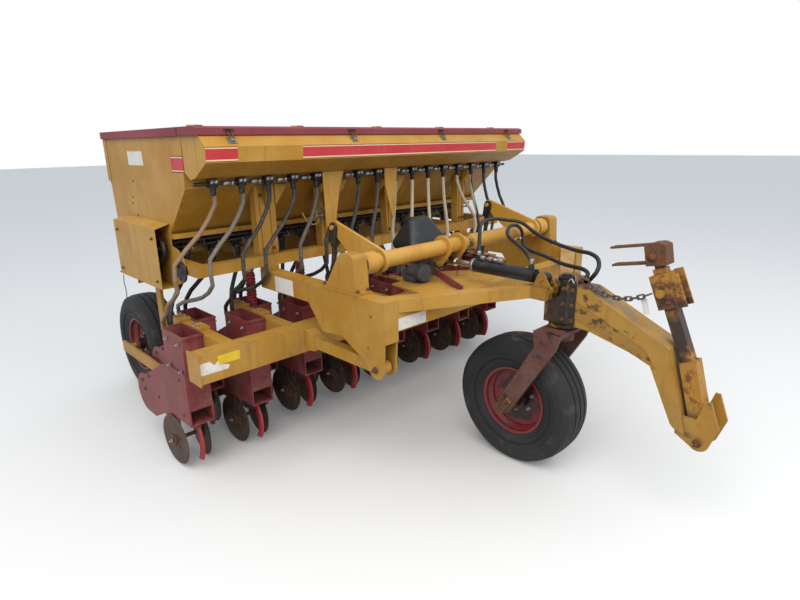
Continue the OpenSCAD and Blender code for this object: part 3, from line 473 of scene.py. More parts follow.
class WornSurface:
    """Shader of one finish: the clean surface with each kind of wear laid over it, and painted shade in its
    corners.
    """

    def __init__(self, nb: NodeBuilder, finish: Finish) -> None:
        """Lays the clean surface and finds its edges and corners.

        Args:
            nb: Builder of the material's tree.
            finish: The surface and the wear on it.
        """
        self.nb = nb
        self.finish = finish
        self.coords = nb.add("ShaderNodeTexCoord").outputs["Object"]
        self.place = nb.wired(nb.add("ShaderNodeSeparateXYZ"), self.coords)
        self.base = linear(finish.base)
        large = nb.noise(self.coords, Pattern(finish.scale_mm, 3.0, 0.55))
        self.fine = nb.noise(self.coords, Pattern(finish.grain_mm, 5.0, 0.7, 3.1))
        self.colour = nb.blend(nb.ramp(large, 0.3, 0.7), self.base, linear(finish.faded or finish.base))
        rough = nb.add("ShaderNodeMapRange", To_Min=max(0.04, finish.rough - 0.1),
                       To_Max=min(1.0, finish.rough + 0.14))
        nb.link(self.fine, rough.inputs["Value"])
        self.rough = rough.outputs["Result"]
        self.metal: object = finish.metallic
        self.normal = nb.add("ShaderNodeNewGeometry").outputs["Normal"]
        self.up = self._upward()
        self.edge = self._edges()
        self.recess = self._corners()

    def _upward(self) -> Socket:
        """1 on what faces up, 0 on what stands or faces down."""
        parts = self.nb.wired(self.nb.add("ShaderNodeSeparateXYZ"), self.normal)
        return self.nb.ramp(parts.outputs["Z"], -0.2, 0.95)

    def _edges(self) -> Socket:
        """1 along sharp edges, where a rounded normal leans away from the true one."""
        rounded = self.nb.add("ShaderNodeBevel", samples=4, Radius=0.004)
        bend = self.nb.wired(self.nb.add("ShaderNodeVectorMath", operation="DOT_PRODUCT"),
                             rounded.outputs["Normal"], self.normal)
        return self.nb.ramp(bend.outputs["Value"], 0.985, 0.86)

    def _corners(self) -> Socket:
        """1 in corners and under what stands close: where dust gathers, and where painted shade goes."""
        shelter = self.nb.add("ShaderNodeAmbientOcclusion", samples=4, Distance=0.06)
        return self.nb.ramp(shelter.outputs["AO"], 0.8, 0.3)

    def _lay(self, mask: object, colour: object, rough: Optional[float] = None) -> None:
        """Covers the surface with a colour.

        Args:
            mask: How far it covers each place, 0 to 1.
            colour: The colour.
            rough: Its roughness, or None to leave that as it is.
        """
        self.colour = self.nb.blend(mask, self.colour, colour)
        if rough is not None:
            self.rough = self.nb.level(mask, self.rough, rough)

    def _streaks(self) -> None:
        """Lays run-down stains on what stands upright."""
        nb = self.nb
        stretch = nb.add("ShaderNodeMapping", Scale=(1.0, 1.0, 0.12))
        nb.link(self.coords, stretch.inputs["Vector"])
        run = nb.noise(stretch.outputs["Vector"], Patterns.STREAK.value)
        low, high = cut(0.3)
        upright = nb.math("SUBTRACT", 1.0, self.up)
        mask = nb.times(nb.times(nb.ramp(run, low, high + 0.1), upright), self.finish.streaks)
        self._lay(mask, tuple(c * 0.62 for c in self.base[:3]) + (1.0,))

    def _rows(self) -> None:
        """Colours each seed tube by its row, which is read off from its place."""
        nb, tubes = self.nb, TubeColours()
        fallen = nb.add("ShaderNodeMapRange", From_Min=tubes.high, From_Max=tubes.low)
        nb.link(self.place.outputs["Z"], fallen.inputs["Value"])
        share = fallen.outputs["Result"]
        across = nb.math("MULTIPLY_ADD", share, tubes.drift, self.place.outputs["Y"])
        spread = nb.math("MULTIPLY_ADD", share, 1.0 - tubes.cup_share, tubes.cup_share)
        row = nb.math("MULTIPLY_ADD", nb.math("DIVIDE", across, spread),
                      1.0 / (tubes.pitch * len(tubes.codes)), 0.5)
        table = nb.add("ShaderNodeValToRGB")
        table.color_ramp.interpolation = "CONSTANT"
        stops = table.color_ramp.elements
        stops.remove(stops[1])
        stops[0].position = 0.0
        stops[0].color = linear(tubes.codes[0])
        for k, code in enumerate(tubes.codes[1:], 1):
            start = tubes.beam_limit if k == tubes.beam_row else k / len(tubes.codes)
            stops.new(start).color = linear(code)
        nb.link(row, table.inputs["Fac"])
        self._lay(tubes.strength, table.outputs["Color"])

    def _dust_and_corner_shade(self) -> None:
        """Lays dust in patches, most of it low down, on top and in corners, and paints shade into the corners.
        """
        nb, data = self.nb, self.finish
        patches = nb.noise(self.coords, Pattern(data.scale_mm * 0.45, 6.0, 0.65, 1.7))
        low, high = cut(data.dirt, 0.12)
        near_ground = nb.ramp(self.place.outputs["Z"], 1.1, 0.05)
        lift = nb.math("MULTIPLY_ADD", near_ground, data.low_dirt, 0.30)
        flat = nb.math("MULTIPLY_ADD", self.up, 0.45, lift)
        inside = nb.math("MULTIPLY_ADD", self.recess, 0.35, flat, clamp=True)
        mask = nb.times(nb.ramp(patches, low, high), inside)
        self._lay(mask, linear(data.dust))
        # Painted shade: dark brown laid where ambient occlusion finds corners and close parts, standing for
        # grime and for the shade that falls there.
        self._lay(nb.times(self.recess, 0.45), linear(GRIME_AND_CORNER_SHADE))
        self.rough = nb.math("MULTIPLY_ADD", mask, 0.3, self.rough, clamp=True)

    def _grease(self) -> None:
        """Lays spots of dark grease."""
        spots = self._patches(Patterns.GREASE, *cut(self.finish.grease, 0.05))
        self._lay(self.nb.times(spots, 0.85), linear(GREASE_BLACK), 0.34)

    def _rust(self) -> None:
        """Lays rust in blots and along worn edges."""
        nb, data = self.nb, self.finish
        blots = self._patches(Patterns.RUST, *cut(data.rust, 0.05))
        shade = self._patches(Patterns.RUST_SHADE, 0.35, 0.65)
        scuffs = self._patches(Patterns.SCUFF, 0.42, 0.62)
        worn = nb.math("MULTIPLY_ADD", nb.times(self.edge, scuffs), data.worn_edges, blots, clamp=True)
        mask = nb.times(worn, 0.9)
        self._lay(mask, nb.blend(shade, linear(RUST_DARK), linear(RUST_LIGHT)), 0.86)
        if data.metallic > 0:
            self.metal = nb.math("MULTIPLY_ADD", mask, -data.metallic, data.metallic)

    def _patches(self, pattern: Patterns, low: float, high: float) -> Socket:
        """1 in a pattern's patches, 0 between them, with a soft rim from low to high."""
        return self.nb.ramp(self.nb.noise(self.coords, pattern.value), low, high)

    def _zones(self) -> None:
        """Lays the wear of each marked place."""
        for k, zone in enumerate(self.finish.zones):
            tone, rough = zone.wear.value
            self._lay(self._zone_mask(zone, k), linear(tone), rough)

    def _zone_mask(self, zone: Zone, index: int) -> Socket:
        """Share of a zone's wear at each place: patches that thin out towards its rim.

        Args:
            zone: The zone.
            index: Its number, so that no two zones have the same patches.

        Returns:
            A socket from 0 to 1.
        """
        nb = self.nb
        scale = tuple(MM_PER_M / r for r in zone.reach)
        local = nb.add("ShaderNodeMapping", Scale=scale,
                       Location=tuple(-c * k for c, k in zip(at(*zone.centre), scale)))
        nb.link(self.coords, local.inputs["Vector"])
        far = nb.wired(nb.add("ShaderNodeVectorMath", operation="LENGTH"), local.outputs["Vector"])
        near = nb.ramp(far.outputs["Value"], 1.0, 0.35)
        patches = nb.noise(self.coords, Pattern(75, 7.0, 0.66, 13.7 + 2.9 * index))
        rise = nb.math("MULTIPLY_ADD", near, 0.42 * zone.share, patches)
        return nb.times(nb.times(nb.ramp(rise, 0.6, 0.72), nb.ramp(near, 0.0, 0.15)), 0.88)

    def _chips(self) -> None:
        """Lays small chips that show the bare metal."""
        flecks = self._patches(Patterns.CHIP, *cut(self.finish.chips * 0.22, 0.015))
        self._lay(flecks, linear(CHIPPED))

    def finish_shader(self) -> None:
        """Lays all the wear that the finish has and the painted shade in its corners, and joins the shader to
        the output.
        """
        nb, data = self.nb, self.finish
        for share, lay in ((data.streaks, self._streaks), (float(data.by_row), self._rows),
                           (data.dirt, self._dust_and_corner_shade), (data.grease, self._grease), (data.rust, self._rust),
                           (float(len(data.zones)), self._zones), (data.chips, self._chips)):
            if share > 0:
                lay()
        bump = nb.add("ShaderNodeBump", Strength=data.bump, Distance=0.004)
        nb.link(self.fine, bump.inputs["Height"])
        shader = nb.add("ShaderNodeBsdfPrincipled")
        for name, value in (("Base Color", self.colour), ("Roughness", self.rough),
                            ("Metallic", self.metal), ("Normal", bump.outputs["Normal"])):
            nb.feed(value, shader.inputs[name])
        output = nb.add("ShaderNodeOutputMaterial")
        nb.link(shader.outputs[0], output.inputs["Surface"])


def empty_tree(owner: object) -> NodeBuilder:
    """A builder on the cleared node tree of a material or world."""
    owner.use_nodes = True
    owner.node_tree.nodes.clear()
    return NodeBuilder(owner.node_tree)


# Materials made so far
MATERIALS: Dict[Look, bpy.types.Material] = {}


def material(finish: Look) -> bpy.types.Material:
    """The node material of a finish, made once.

    Args:
        finish: Which finish.

    Returns:
        The material.
    """
    if finish not in MATERIALS:
        made = bpy.data.materials.new(finish.value.name)
        WornSurface(empty_tree(made), finish.value).finish_shader()
        MATERIALS[finish] = made
    return MATERIALS[finish]


# CAD nodes by their finish
FINISHED_NODES: Dict[Look, Tuple[str, ...]] = {
    Look.BEAM_YELLOW: ("side_beams", "nose_beams", "shaft_stands", "hopper_frame", "wheel_arms",
                           "opener_frame"),
    Look.DECK_YELLOW: ("front_crossbeam",),
    Look.NOSE_YELLOW: ("nose_housing",),
    Look.TONGUE_YELLOW: ("tongue",),
    Look.POLE_YELLOW: ("hitch_pole",),
    Look.SHAFT_YELLOW: ("rockshaft",),
    Look.YELLOW: ("box_posts", "hopper", "front_box", "drive_guard"),
    Look.MAROON: ("opener_bodies",),
    Look.RED: ("opener_shoes", "opener_springs"),
    Look.LID: ("rear_lid", "front_lid"),
    Look.RIM: ("front_rim", "rear_right_rim", "rear_left_rim"),
    Look.TYRE: ("front_tyre", "rear_right_tyre", "rear_left_tyre"),
    Look.FORK: ("caster_fork",),
    Look.GREASY: ("grain_meters", "drive_sprockets", "king_post", "lift_rods"),
    Look.BLACK: ("grass_meters", "drive_cover", "cylinder_barrel"),
    Look.CAST: ("drive_gearbox",),
    Look.CHAIN: ("safety_chain",),
    Look.RUSTY: ("front_axle", "hitch_head"),
    Look.CHROME: ("cylinder_rod",),
    Look.DISC: ("opener_discs",),
    Look.TUBE: ("seed_tubes",),
    Look.RUBBER: ("hose_lower", "hose_upper", "grain_hoses"),
}


# Mesh tools

# Faces of a box whose corners run through z, then y, then x
BOX_FACES = ((0, 1, 3, 2), (4, 6, 7, 5), (0, 4, 5, 1), (2, 3, 7, 6), (0, 2, 6, 4), (1, 5, 7, 3))


def along_side(a: float, b: float, depth: float) -> Vector:
    """Lays an outline along X and Z, with its depth along Y."""
    return Vector((a, depth, b))


def across_front(a: float, b: float, depth: float) -> Vector:
    """Lays an outline along Y and Z, with its depth along X."""
    return Vector((depth, a, b))


def skin(count: int, sides: int, closed: bool) -> List[Tuple[int, ...]]:
    """Faces between circles of points.

    Args:
        count: Number of circles.
        sides: Points of each circle.
        closed: Whether the last circle joins the first; if not, both ends get a cap.

    Returns:
        The faces.
    """
    faces = []
    for i in range(count if closed else count - 1):
        j = (i + 1) % count
        for k in range(sides):
            m = (k + 1) % sides
            faces.append((i * sides + k, i * sides + m, j * sides + m, j * sides + k))
    if not closed:
        faces.append(tuple(range(sides - 1, -1, -1)))
        faces.append(tuple((count - 1) * sides + k for k in range(sides)))
    return faces


def circle(centre: Vector, u: Vector, v: Vector, radius: float, sides: int) -> List[Vector]:
    """Points of a circle.

    Args:
        centre: Its middle.
        u: Direction of the first point.
        v: Direction of the point a quarter turn on.
        radius: Its radius.
        sides: Number of points.

    Returns:
        The points in the row frame.
    """
    points = []
    for k in range(sides):
        a = 2 * math.pi * k / sides
        points.append(at(*(centre + u * (radius * math.cos(a)) + v * (radius * math.sin(a)))))
    return points


def tilted(centre: Point, degrees: float, axis: str = "Y") -> Matrix:
    """Turn about an axis, then a move to a centre."""
    return Matrix.Translation(centre) @ Matrix.Rotation(math.radians(degrees), 4, axis)


class Shape:
    """Collects simple solids into one mesh, in millimetres from the front hub."""

    def __init__(self, name: str, finish: Look) -> None:
        """Starts an empty shape.

        Args:
            name: Name of the piece.
            finish: Its finish.
        """
        self.name = name
        self.finish = finish
        self.bm = bmesh.new()

    def add(self, points: Sequence[Vector], faces: Sequence[Sequence[int]], smooth: bool = False) -> None:
        """Adds points and the faces between them.

        Args:
            points: Points in the row frame.
            faces: Each face as the numbers of its points.
            smooth: Whether the faces are shaded as round.
        """
        verts = [self.bm.verts.new(p) for p in points]
        for face in faces:
            self.bm.faces.new([verts[i] for i in face]).smooth = smooth

    def box(self, x0: float, x1: float, y0: float, y1: float, z0: float, z1: float,
            turn: Optional[Matrix] = None) -> None:
        """Adds a box.

        Args:
            x0, x1, y0, y1, z0, z1: Its limits.
            turn: Matrix that puts it in its place, if it isn't there yet.
        """
        points = [Vector((x, y, z)) for x in (x0, x1) for y in (y0, y1) for z in (z0, z1)]
        if turn is not None:
            points = [turn @ p for p in points]
        self.add([at(*p) for p in points], BOX_FACES)

    def ring(self, centre: Point, axis: Point, profile: Outline, sides: int = 24,
             closed: bool = False, smooth: bool = True) -> None:
        """Turns a profile about an axis.

        Args:
            centre: Where the profile's distances start.
            axis: Direction of the axis.
            profile: Pairs of radius and distance along the axis.
            sides: Facets of a turn.
            closed: Whether the profile's end joins its start, as on a hoop.
            smooth: Whether it is shaded as round.
        """
        w = Vector(axis).normalized()
        u = w.orthogonal().normalized()
        v = w.cross(u)
        points: List[Vector] = []
        for radius, distance in profile:
            points += circle(Vector(centre) + w * distance, u, v, radius, sides)
        self.add(points, skin(len(profile), sides, closed), smooth)

    def rod(self, a: Point, b: Point, radius: float, sides: int = 16) -> None:
        """Adds a round bar from a to b."""
        d = Vector(b) - Vector(a)
        self.ring(a, tuple(d), [(radius, 0.0), (radius, d.length)], sides)

    def hexagon(self, centre: Point, axis: Point, across: float, high: float) -> None:
        """Adds a nut or bolt head.

        Args:
            centre: Where it stands.
            axis: Direction in which it stands up.
            across: Size across its flats.
            high: Its height.
        """
        r = across / math.sqrt(3)
        self.ring(centre, axis, [(r, 0.0), (r, high * 0.86), (r * 0.88, high)], 6, smooth=False)

    def bolt(self, centre: Point, axis: Point, size: float, stud: float = 0.0) -> None:
        """Adds a washer and a hexagon head.

        Args:
            centre: Where they stand.
            axis: Direction in which they stand up.
            size: Diameter of the bolt.
            stud: How far a stud's end comes out of the nut, 0 for a bolt's head.
        """
        w = Vector(axis).normalized()
        self.ring(centre, axis, [(size * 1.1, -0.6), (size * 1.1, size * 0.14)], 20)
        top = Vector(centre) + w * size * 0.14
        self.hexagon(tuple(top), axis, size * 1.6, size * 0.62)
        if stud > 0:
            base = top + w * size * 0.6
            self.ring(tuple(base), axis, [(size * 0.48, 0.0), (size * 0.48, stud)], 12)

    def tube(self, points: Sequence[Point], radius: float, sides: int = 10,
             radii: Optional[Sequence[float]] = None) -> None:
        """Sweeps a circle along a line.

        Args:
            points: The line's points.
            radius: Radius of the circle.
            sides: Facets of a turn.
            radii: Radius at each point, where it changes.
        """
        path = [Vector(p) for p in points]
        last = len(path) - 1
        tangents = [(path[min(i + 1, last)] - path[max(i - 1, 0)]).normalized() for i in range(last + 1)]
        u = tangents[0].orthogonal().normalized()
        rows: List[Vector] = []
        for i, (place, t) in enumerate(zip(path, tangents)):
            u = (u - t * u.dot(t)).normalized()
            rows += circle(place, u, t.cross(u), radii[i] if radii else radius, sides)
        self.add(rows, skin(len(path), sides, False), True)

    def prism(self, outline: Outline, place: Callable[[float, float, float], Vector],
              low: float, high: float) -> None:
        """Extrudes an outline.

        Args:
            outline: Its corners as pairs (a, b).
            place: Turns a, b and the depth into x, y and z.
            low: Depth of the one face.
            high: Depth of the other face.
        """
        n = len(outline)
        points = [at(*place(a, b, depth)) for depth in (low, high) for a, b in outline]
        faces: List[Tuple[int, ...]] = [tuple(range(n)), tuple(range(2 * n - 1, n - 1, -1))]
        faces += [(i, (i + 1) % n, (i + 1) % n + n, i + n) for i in range(n)]
        self.add(points, faces)

    def mesh(self) -> Mesh:
        """The collected solids as one mesh with its faces outwards."""
        bmesh.ops.recalc_face_normals(self.bm, faces=self.bm.faces)
        made = bpy.data.meshes.new(self.name)
        self.bm.to_mesh(made)
        self.bm.free()
        return made

    def fix_to(self, body: str, slot_name: Optional[str] = None) -> Piece:
        """Turns the collected solids into an object that rides on a body.

        Args:
            body: Name of the CAD body.
            slot_name: Not used.

        Returns:
            The object.
        """
        made = new_object(self.name, self.mesh())
        made.data.materials.append(material(self.finish))
        ride(made, body)
        LOG.info("%s: %d faces on %s", self.name, len(made.data.polygons), body)
        return made


def new_object(name: str, data: Optional[bpy.types.ID]) -> Piece:
    """An object in the scene.

    Args:
        name: Its name.
        data: Its mesh, light or camera.

    Returns:
        The object.
    """
    made = bpy.data.objects.new(name, data)
    bpy.context.scene.collection.objects.link(made)
    return made


def ride(piece: Piece, body: str) -> None:
    """Fixes a piece to a body.

    Args:
        piece: The piece.
        body: Name of the CAD body.
    """
    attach(piece, body)


def smooth_path(points: Sequence[Point], steps: int = 6, held: bool = False) -> List[Point]:
    """A smooth line through points.

    Args:
        points: The points, in order.
        steps: Pieces between each two points.
        held: Whether the ends are bent by their neighbours alone, as in the CAD routes.

    Returns:
        The points of the smooth line.
    """
    p = [Vector(q) for q in points]
    p = [p[0], *p, p[-1]] if held else [p[0] * 2 - p[1], *p, p[-1] * 2 - p[-2]]
    out: List[Point] = []
    for i in range(1, len(p) - 2):
        for k in range(steps):
            t = k / steps
            q = 0.5 * ((2 * p[i]) + (p[i + 1] - p[i - 1]) * t
                       + (2 * p[i - 1] - 5 * p[i] + 4 * p[i + 1] - p[i + 2]) * t * t
                       + (3 * p[i] - p[i - 1] - 3 * p[i + 1] + p[i + 2]) * t ** 3)
            out.append(tuple(q))
    out.append(tuple(p[-2]))
    return out


# Stage


@dataclass(frozen=True)
class Lamp:
    """A soft square light: its name, place and side in metres, and power in watts."""

    name: str
    place: Point
    size: float
    power: float


@dataclass
class Stage:
    """Floor, light and camera of the picture.

    Attributes:
        camera_at: The camera's place.
        yaw: Direction of view about the vertical, in degrees from +X.
        pitch: Tilt down, in degrees.
        roll: Turn about the view axis, in degrees.
        lens: Focal length for the film's width.
        film: Width of the film.
        far: Greatest distance that the camera sees, in metres.
        floor_half: Half the side of the floor, in metres.
        floor_seen: Colour of the floor to the camera.
        floor_cast: Colour of the light that the floor throws back.
        sky: Colour of the light from all sides.
        sky_power: Strength of that light.
        lamps: The lamps.
        lamp_colour: Their colour.
        aim: Where they point, in metres.
    """

    camera_at: Point = (1619, -2554, 1823)
    yaw: float = 135.8
    pitch: float = 16.09
    roll: float = -0.99
    lens: float = 24.67
    film: float = 36
    far: float = 500
    floor_half: float = 60
    floor_seen: Colour = (0.80, 0.79, 0.77, 1.0)
    floor_cast: Colour = (0.30, 0.29, 0.27, 1.0)
    sky: Colour = (0.86, 0.92, 1.0, 1.0)
    sky_power: float = 0.85
    lamps: Tuple[Lamp, ...] = (Lamp("key_light", (3.6, -4.6, 6.6), 7.0, 480),
                               Lamp("fill_light", (6.5, 1.6, 5.0), 6.0, 140))
    lamp_colour: Point = (1.0, 0.98, 0.95)
    aim: Point = (-0.3, 0.0, 0.8)

    def build(self) -> None:
        """Makes the floor, the world, the lights and the camera."""
        bpy.context.scene.view_settings.view_transform = "Standard"
        self._floor()
        self._world()
        for lamp in self.lamps:
            self._light(lamp)
        self._camera()

    def _floor(self) -> None:
        """Makes a pale floor that throws less light back than it shows."""
        half = self.floor_half
        mesh = bpy.data.meshes.new("floor")
        mesh.from_pydata([(-half, -half, 0), (half, -half, 0), (half, half, 0), (-half, half, 0)], [],
                         [(0, 1, 2, 3)])
        floor = new_object("floor", mesh)
        pale = bpy.data.materials.new("floor_white")
        nb = empty_tree(pale)
        path = nb.add("ShaderNodeLightPath")
        seen = nb.math("MAXIMUM", path.outputs["Is Camera Ray"], path.outputs["Is Glossy Ray"])
        cast = nb.add("ShaderNodeBsdfDiffuse", Color=self.floor_cast)
        shown = nb.add("ShaderNodeBsdfDiffuse", Color=self.floor_seen)
        output = nb.add("ShaderNodeOutputMaterial")
        mix = nb.wired(nb.add("ShaderNodeMixShader"), seen, cast.outputs[0], shown.outputs[0])
        nb.link(mix.outputs[0], output.inputs["Surface"])
        mesh.materials.append(pale)

    def _world(self) -> None:
        """Makes a white background and soft light from all sides."""
        world = bpy.data.worlds.new("studio")
        nb = empty_tree(world)
        seen = nb.add("ShaderNodeLightPath").outputs["Is Camera Ray"]
        soft = nb.add("ShaderNodeBackground", Color=self.sky, Strength=self.sky_power)
        white = nb.add("ShaderNodeBackground", Color=(1.0, 1.0, 1.0, 1.0), Strength=1.0)
        output = nb.add("ShaderNodeOutputWorld")
        mix = nb.wired(nb.add("ShaderNodeMixShader"), seen, soft.outputs[0], white.outputs[0])
        nb.link(mix.outputs[0], output.inputs["Surface"])
        bpy.context.scene.world = world

    def _light(self, lamp: Lamp) -> None:
        """Hangs one lamp and points it at the machine.

        Args:
            lamp: The lamp.
        """
        data = bpy.data.lights.new(lamp.name, "AREA")
        data.shape = "SQUARE"
        data.size = lamp.size
        data.energy = lamp.power
        data.color = self.lamp_colour
        made = new_object(lamp.name, data)
        made.location = lamp.place
        made.rotation_euler = (Vector(self.aim) - Vector(lamp.place)).to_track_quat("-Z", "Y").to_euler()

    def _camera(self) -> None:
        """Sets the camera to the photograph's view."""
        data = bpy.data.cameras.new("camera")
        data.sensor_width = self.film
        data.lens = self.lens
        data.clip_end = self.far
        camera = new_object("camera", data)
        yaw, pitch, roll = (math.radians(v) for v in (self.yaw, self.pitch, self.roll))
        forward = Vector((math.cos(yaw) * math.cos(pitch), math.sin(yaw) * math.cos(pitch),
                          -math.sin(pitch)))
        side = Vector((math.sin(yaw), -math.cos(yaw), 0.0))
        above = side.cross(forward)
        right = side * math.cos(roll) + above * math.sin(roll)
        top = above * math.cos(roll) - side * math.sin(roll)
        turn = Matrix((right, top, -forward)).transposed().to_4x4()
        camera.matrix_world = Matrix.Translation(at(*self.camera_at)) @ turn
        bpy.context.scene.camera = camera


# Repeats


@dataclass
class Spot:
    """One place of a repeated piece.

    Attributes:
        at: Its place.
        axis: Direction of the piece's own Z.
        size: Scale of the piece.
        spin: Turn about its own Z, in degrees.
    """

    at: Point
    axis: Point = (0.0, 0.0, 1.0)
    size: float = 1.0
    spin: float = 0.0


class Repeater:
    """Geometry Nodes group that puts one unit piece on every spot."""

    GROUP = "repeat_on_spots"

    @classmethod
    def group(cls) -> bpy.types.NodeTree:
        """The node group, made once, with inputs for the spots, the unit and the finish."""
        found = bpy.data.node_groups.get(cls.GROUP)
        if found:
            return found
        tree = bpy.data.node_groups.new(cls.GROUP, "GeometryNodeTree")
        for name, way, kind in (("Spots", "INPUT", "Geometry"), ("Unit", "INPUT", "Object"),
                                ("Finish", "INPUT", "Material"), ("Result", "OUTPUT", "Geometry")):
            tree.interface.new_socket(name=name, in_out=way, socket_type="NodeSocket" + kind)
        nb = NodeBuilder(tree)
        enter = nb.add("NodeGroupInput")
        leave = nb.add("NodeGroupOutput")
        unit = nb.add("GeometryNodeObjectInfo")
        turn = nb.add("GeometryNodeInputNamedAttribute", data_type="FLOAT_VECTOR", Name="turn")
        size = nb.add("GeometryNodeInputNamedAttribute", data_type="FLOAT", Name="size")
        as_rotation = nb.add("FunctionNodeEulerToRotation")
        place = nb.add("GeometryNodeInstanceOnPoints")
        real = nb.add("GeometryNodeRealizeInstances")
        paint = nb.add("GeometryNodeSetMaterial")
        for out, into in ((enter.outputs["Spots"], place.inputs["Points"]),
                          (enter.outputs["Unit"], unit.inputs["Object"]),
                          (unit.outputs["Geometry"], place.inputs["Instance"]),
                          (turn.outputs["Attribute"], as_rotation.inputs[0]),
                          (as_rotation.outputs[0], place.inputs["Rotation"]),
                          (size.outputs["Attribute"], place.inputs["Scale"]),
                          (place.outputs["Instances"], real.inputs["Geometry"]),
                          (real.outputs["Geometry"], paint.inputs["Geometry"]),
                          (enter.outputs["Finish"], paint.inputs["Material"]),
                          (paint.outputs["Geometry"], leave.inputs["Result"])):
            nb.link(out, into)
        return tree

    @staticmethod
    def _source(name: str, spots: Sequence[Spot]) -> Piece:
        """An object whose points carry the turn and the size of each spot.

        Args:
            name: Its name.
            spots: The spots.

        Returns:
            The object.
        """
        mesh = bpy.data.meshes.new(name)
        mesh.from_pydata([tuple(at(*s.at)) for s in spots], [], [])
        mesh.attributes.new("turn", "FLOAT_VECTOR", "POINT")
        mesh.attributes.new("size", "FLOAT", "POINT")
        turns, sizes = mesh.attributes["turn"], mesh.attributes["size"]
        for k, s in enumerate(spots):
            quat = Vector(s.axis).normalized().to_track_quat("Z", "Y")
            turned = quat.to_matrix() @ Matrix.Rotation(math.radians(s.spin), 3, "Z")
            turns.data[k].vector = tuple(turned.to_euler())
            sizes.data[k].value = s.size
        return new_object(name, mesh)

    @classmethod
    def place(cls, name: str, unit: Mesh, spots: Sequence[Spot], finish: Look,
              body: str, slot_name: Optional[str] = None) -> Piece:
        """Puts a unit mesh on every spot, as one plain mesh on a body.

        Args:
            name: Name of the new piece.
            unit: Mesh of one piece, with its own Z along each spot's axis.
            spots: Where the pieces go.
            finish: Their finish.
            body: The CAD body that they ride on.
            slot_name: Not used.

        Returns:
            The new object.
        """
        holder = new_object(name + "_unit", unit)
        source = cls._source(name + "_spots", spots)
        modifier = source.modifiers.new("repeat", "NODES")
        modifier.node_group = cls.group()
        values = {"Unit": holder, "Finish": material(finish)}
        for item in modifier.node_group.interface.items_tree:
            if item.in_out == "INPUT" and item.name in values:
                modifier[item.identifier] = values[item.name]
        bpy.context.view_layer.update()
        shown = source.evaluated_get(bpy.context.evaluated_depsgraph_get())
        made = new_object(name, bpy.data.meshes.new_from_object(shown))
        bpy.data.objects.remove(source)
        bpy.data.objects.remove(holder)
        if not made.data.materials:
            made.data.materials.append(material(finish))
        ride(made, body)
        LOG.info("%s: %d pieces on %s", name, len(spots), body)
        return made


class Units:
    """Meshes of the small repeated pieces, in metres about their own origin."""

    ORIGIN: Point = (0.0, 0.0, 0.0)
    UP: Point = (0.0, 0.0, 1.0)
    RIVET_HEAD: Outline = [(4.5, -0.5), (4.3, 0.8), (3.2, 1.9), (1.4, 2.5)]
    PLUG: Outline = [(8.0, -0.5), (8.0, 0.8), (5.5, 0.9), (5.0, 0.3)]
    HOSE_SLEEVE: Outline = [(10, 0), (12, 2), (12, 10), (13.5, 12), (13.5, 34), (12, 36), (11.4, 37)]

    @staticmethod
    def _mesh(name: str, fill: Callable[[Shape], None]) -> Mesh:
        """A unit's mesh.

        Args:
            name: Its name.
            fill: Adds the unit's solids to a shape.

        Returns:
            The mesh, about its own origin.
        """
        shape = Shape(name, Look.BRIGHT)
        fill(shape)
        bmesh.ops.translate(shape.bm, verts=shape.bm.verts, vec=(-HUB_X, 0.0, 0.0))
        return shape.mesh()

    @classmethod
    def bolt(cls) -> Mesh:
        """A washer and a 10 mm bolt's head."""
        return cls._mesh("bolt_unit", lambda s: s.bolt(cls.ORIGIN, cls.UP, 10))

    @classmethod
    def stud(cls) -> Mesh:
        """A nut on the end of a 10 mm bolt."""
        return cls._mesh("stud_unit", lambda s: s.bolt(cls.ORIGIN, cls.UP, 10, 7.0))

    @classmethod
    def rivet(cls) -> Mesh:
        """A domed rivet head, 9 mm across."""
        return cls._mesh("rivet_unit", lambda s: s.ring(cls.ORIGIN, cls.UP, cls.RIVET_HEAD, 12))

    @classmethod
    def plug(cls) -> Mesh:
        """A shallow plug, 16 mm across."""
        return cls._mesh("plug_unit", lambda s: s.ring(cls.ORIGIN, cls.UP, cls.PLUG, 18))

    @classmethod
    def coil(cls, radius: float, wire: float, turns: float, high: float) -> Mesh:
        """A coil spring that stands on its origin.

        Args:
            radius: Radius of the wire's middle line.
            wire: Radius of the wire.
            turns: Number of turns.
            high: Height of the spring.

        Returns:
            The mesh.
        """
        steps = 14
        count = int(turns * steps)
        path = []
        for k in range(count + 1):
            a = 2 * math.pi * k / steps
            path.append((radius * math.cos(a), radius * math.sin(a), wire + (high - 2 * wire) * k / count))
        return cls._mesh("coil_unit_%d" % round(radius), lambda s: s.tube(path, wire, 6))

    @classmethod
    def fitting(cls) -> Mesh:
        """A hydraulic swivel fitting: hexagon, collar and crimped sleeve."""

        def fill(s: Shape) -> None:
            """Adds the hexagon and the sleeve on it."""
            s.hexagon(cls.ORIGIN, cls.UP, 26, 14)
            s.ring((0.0, 0.0, 14), cls.UP, cls.HOSE_SLEEVE, 18)

        return cls._mesh("fitting_unit", fill)

    @classmethod
    def chain_link(cls) -> Mesh:
        """One link of the drive chain, with its pins along its own Z."""

        def fill(s: Shape) -> None:
            """Adds the two plates and the two pins.

            Args:
                s: Takes them.
            """
            for low in (-9.6, 8.0):
                s.box(-12, 12, -5.5, 5.5, low, low + 1.6)
            for x in (-8, 8):
                s.rod((x, 0, -11), (x, 0, 11), 2.8, 8)

        return cls._mesh("chain_link_unit", fill)


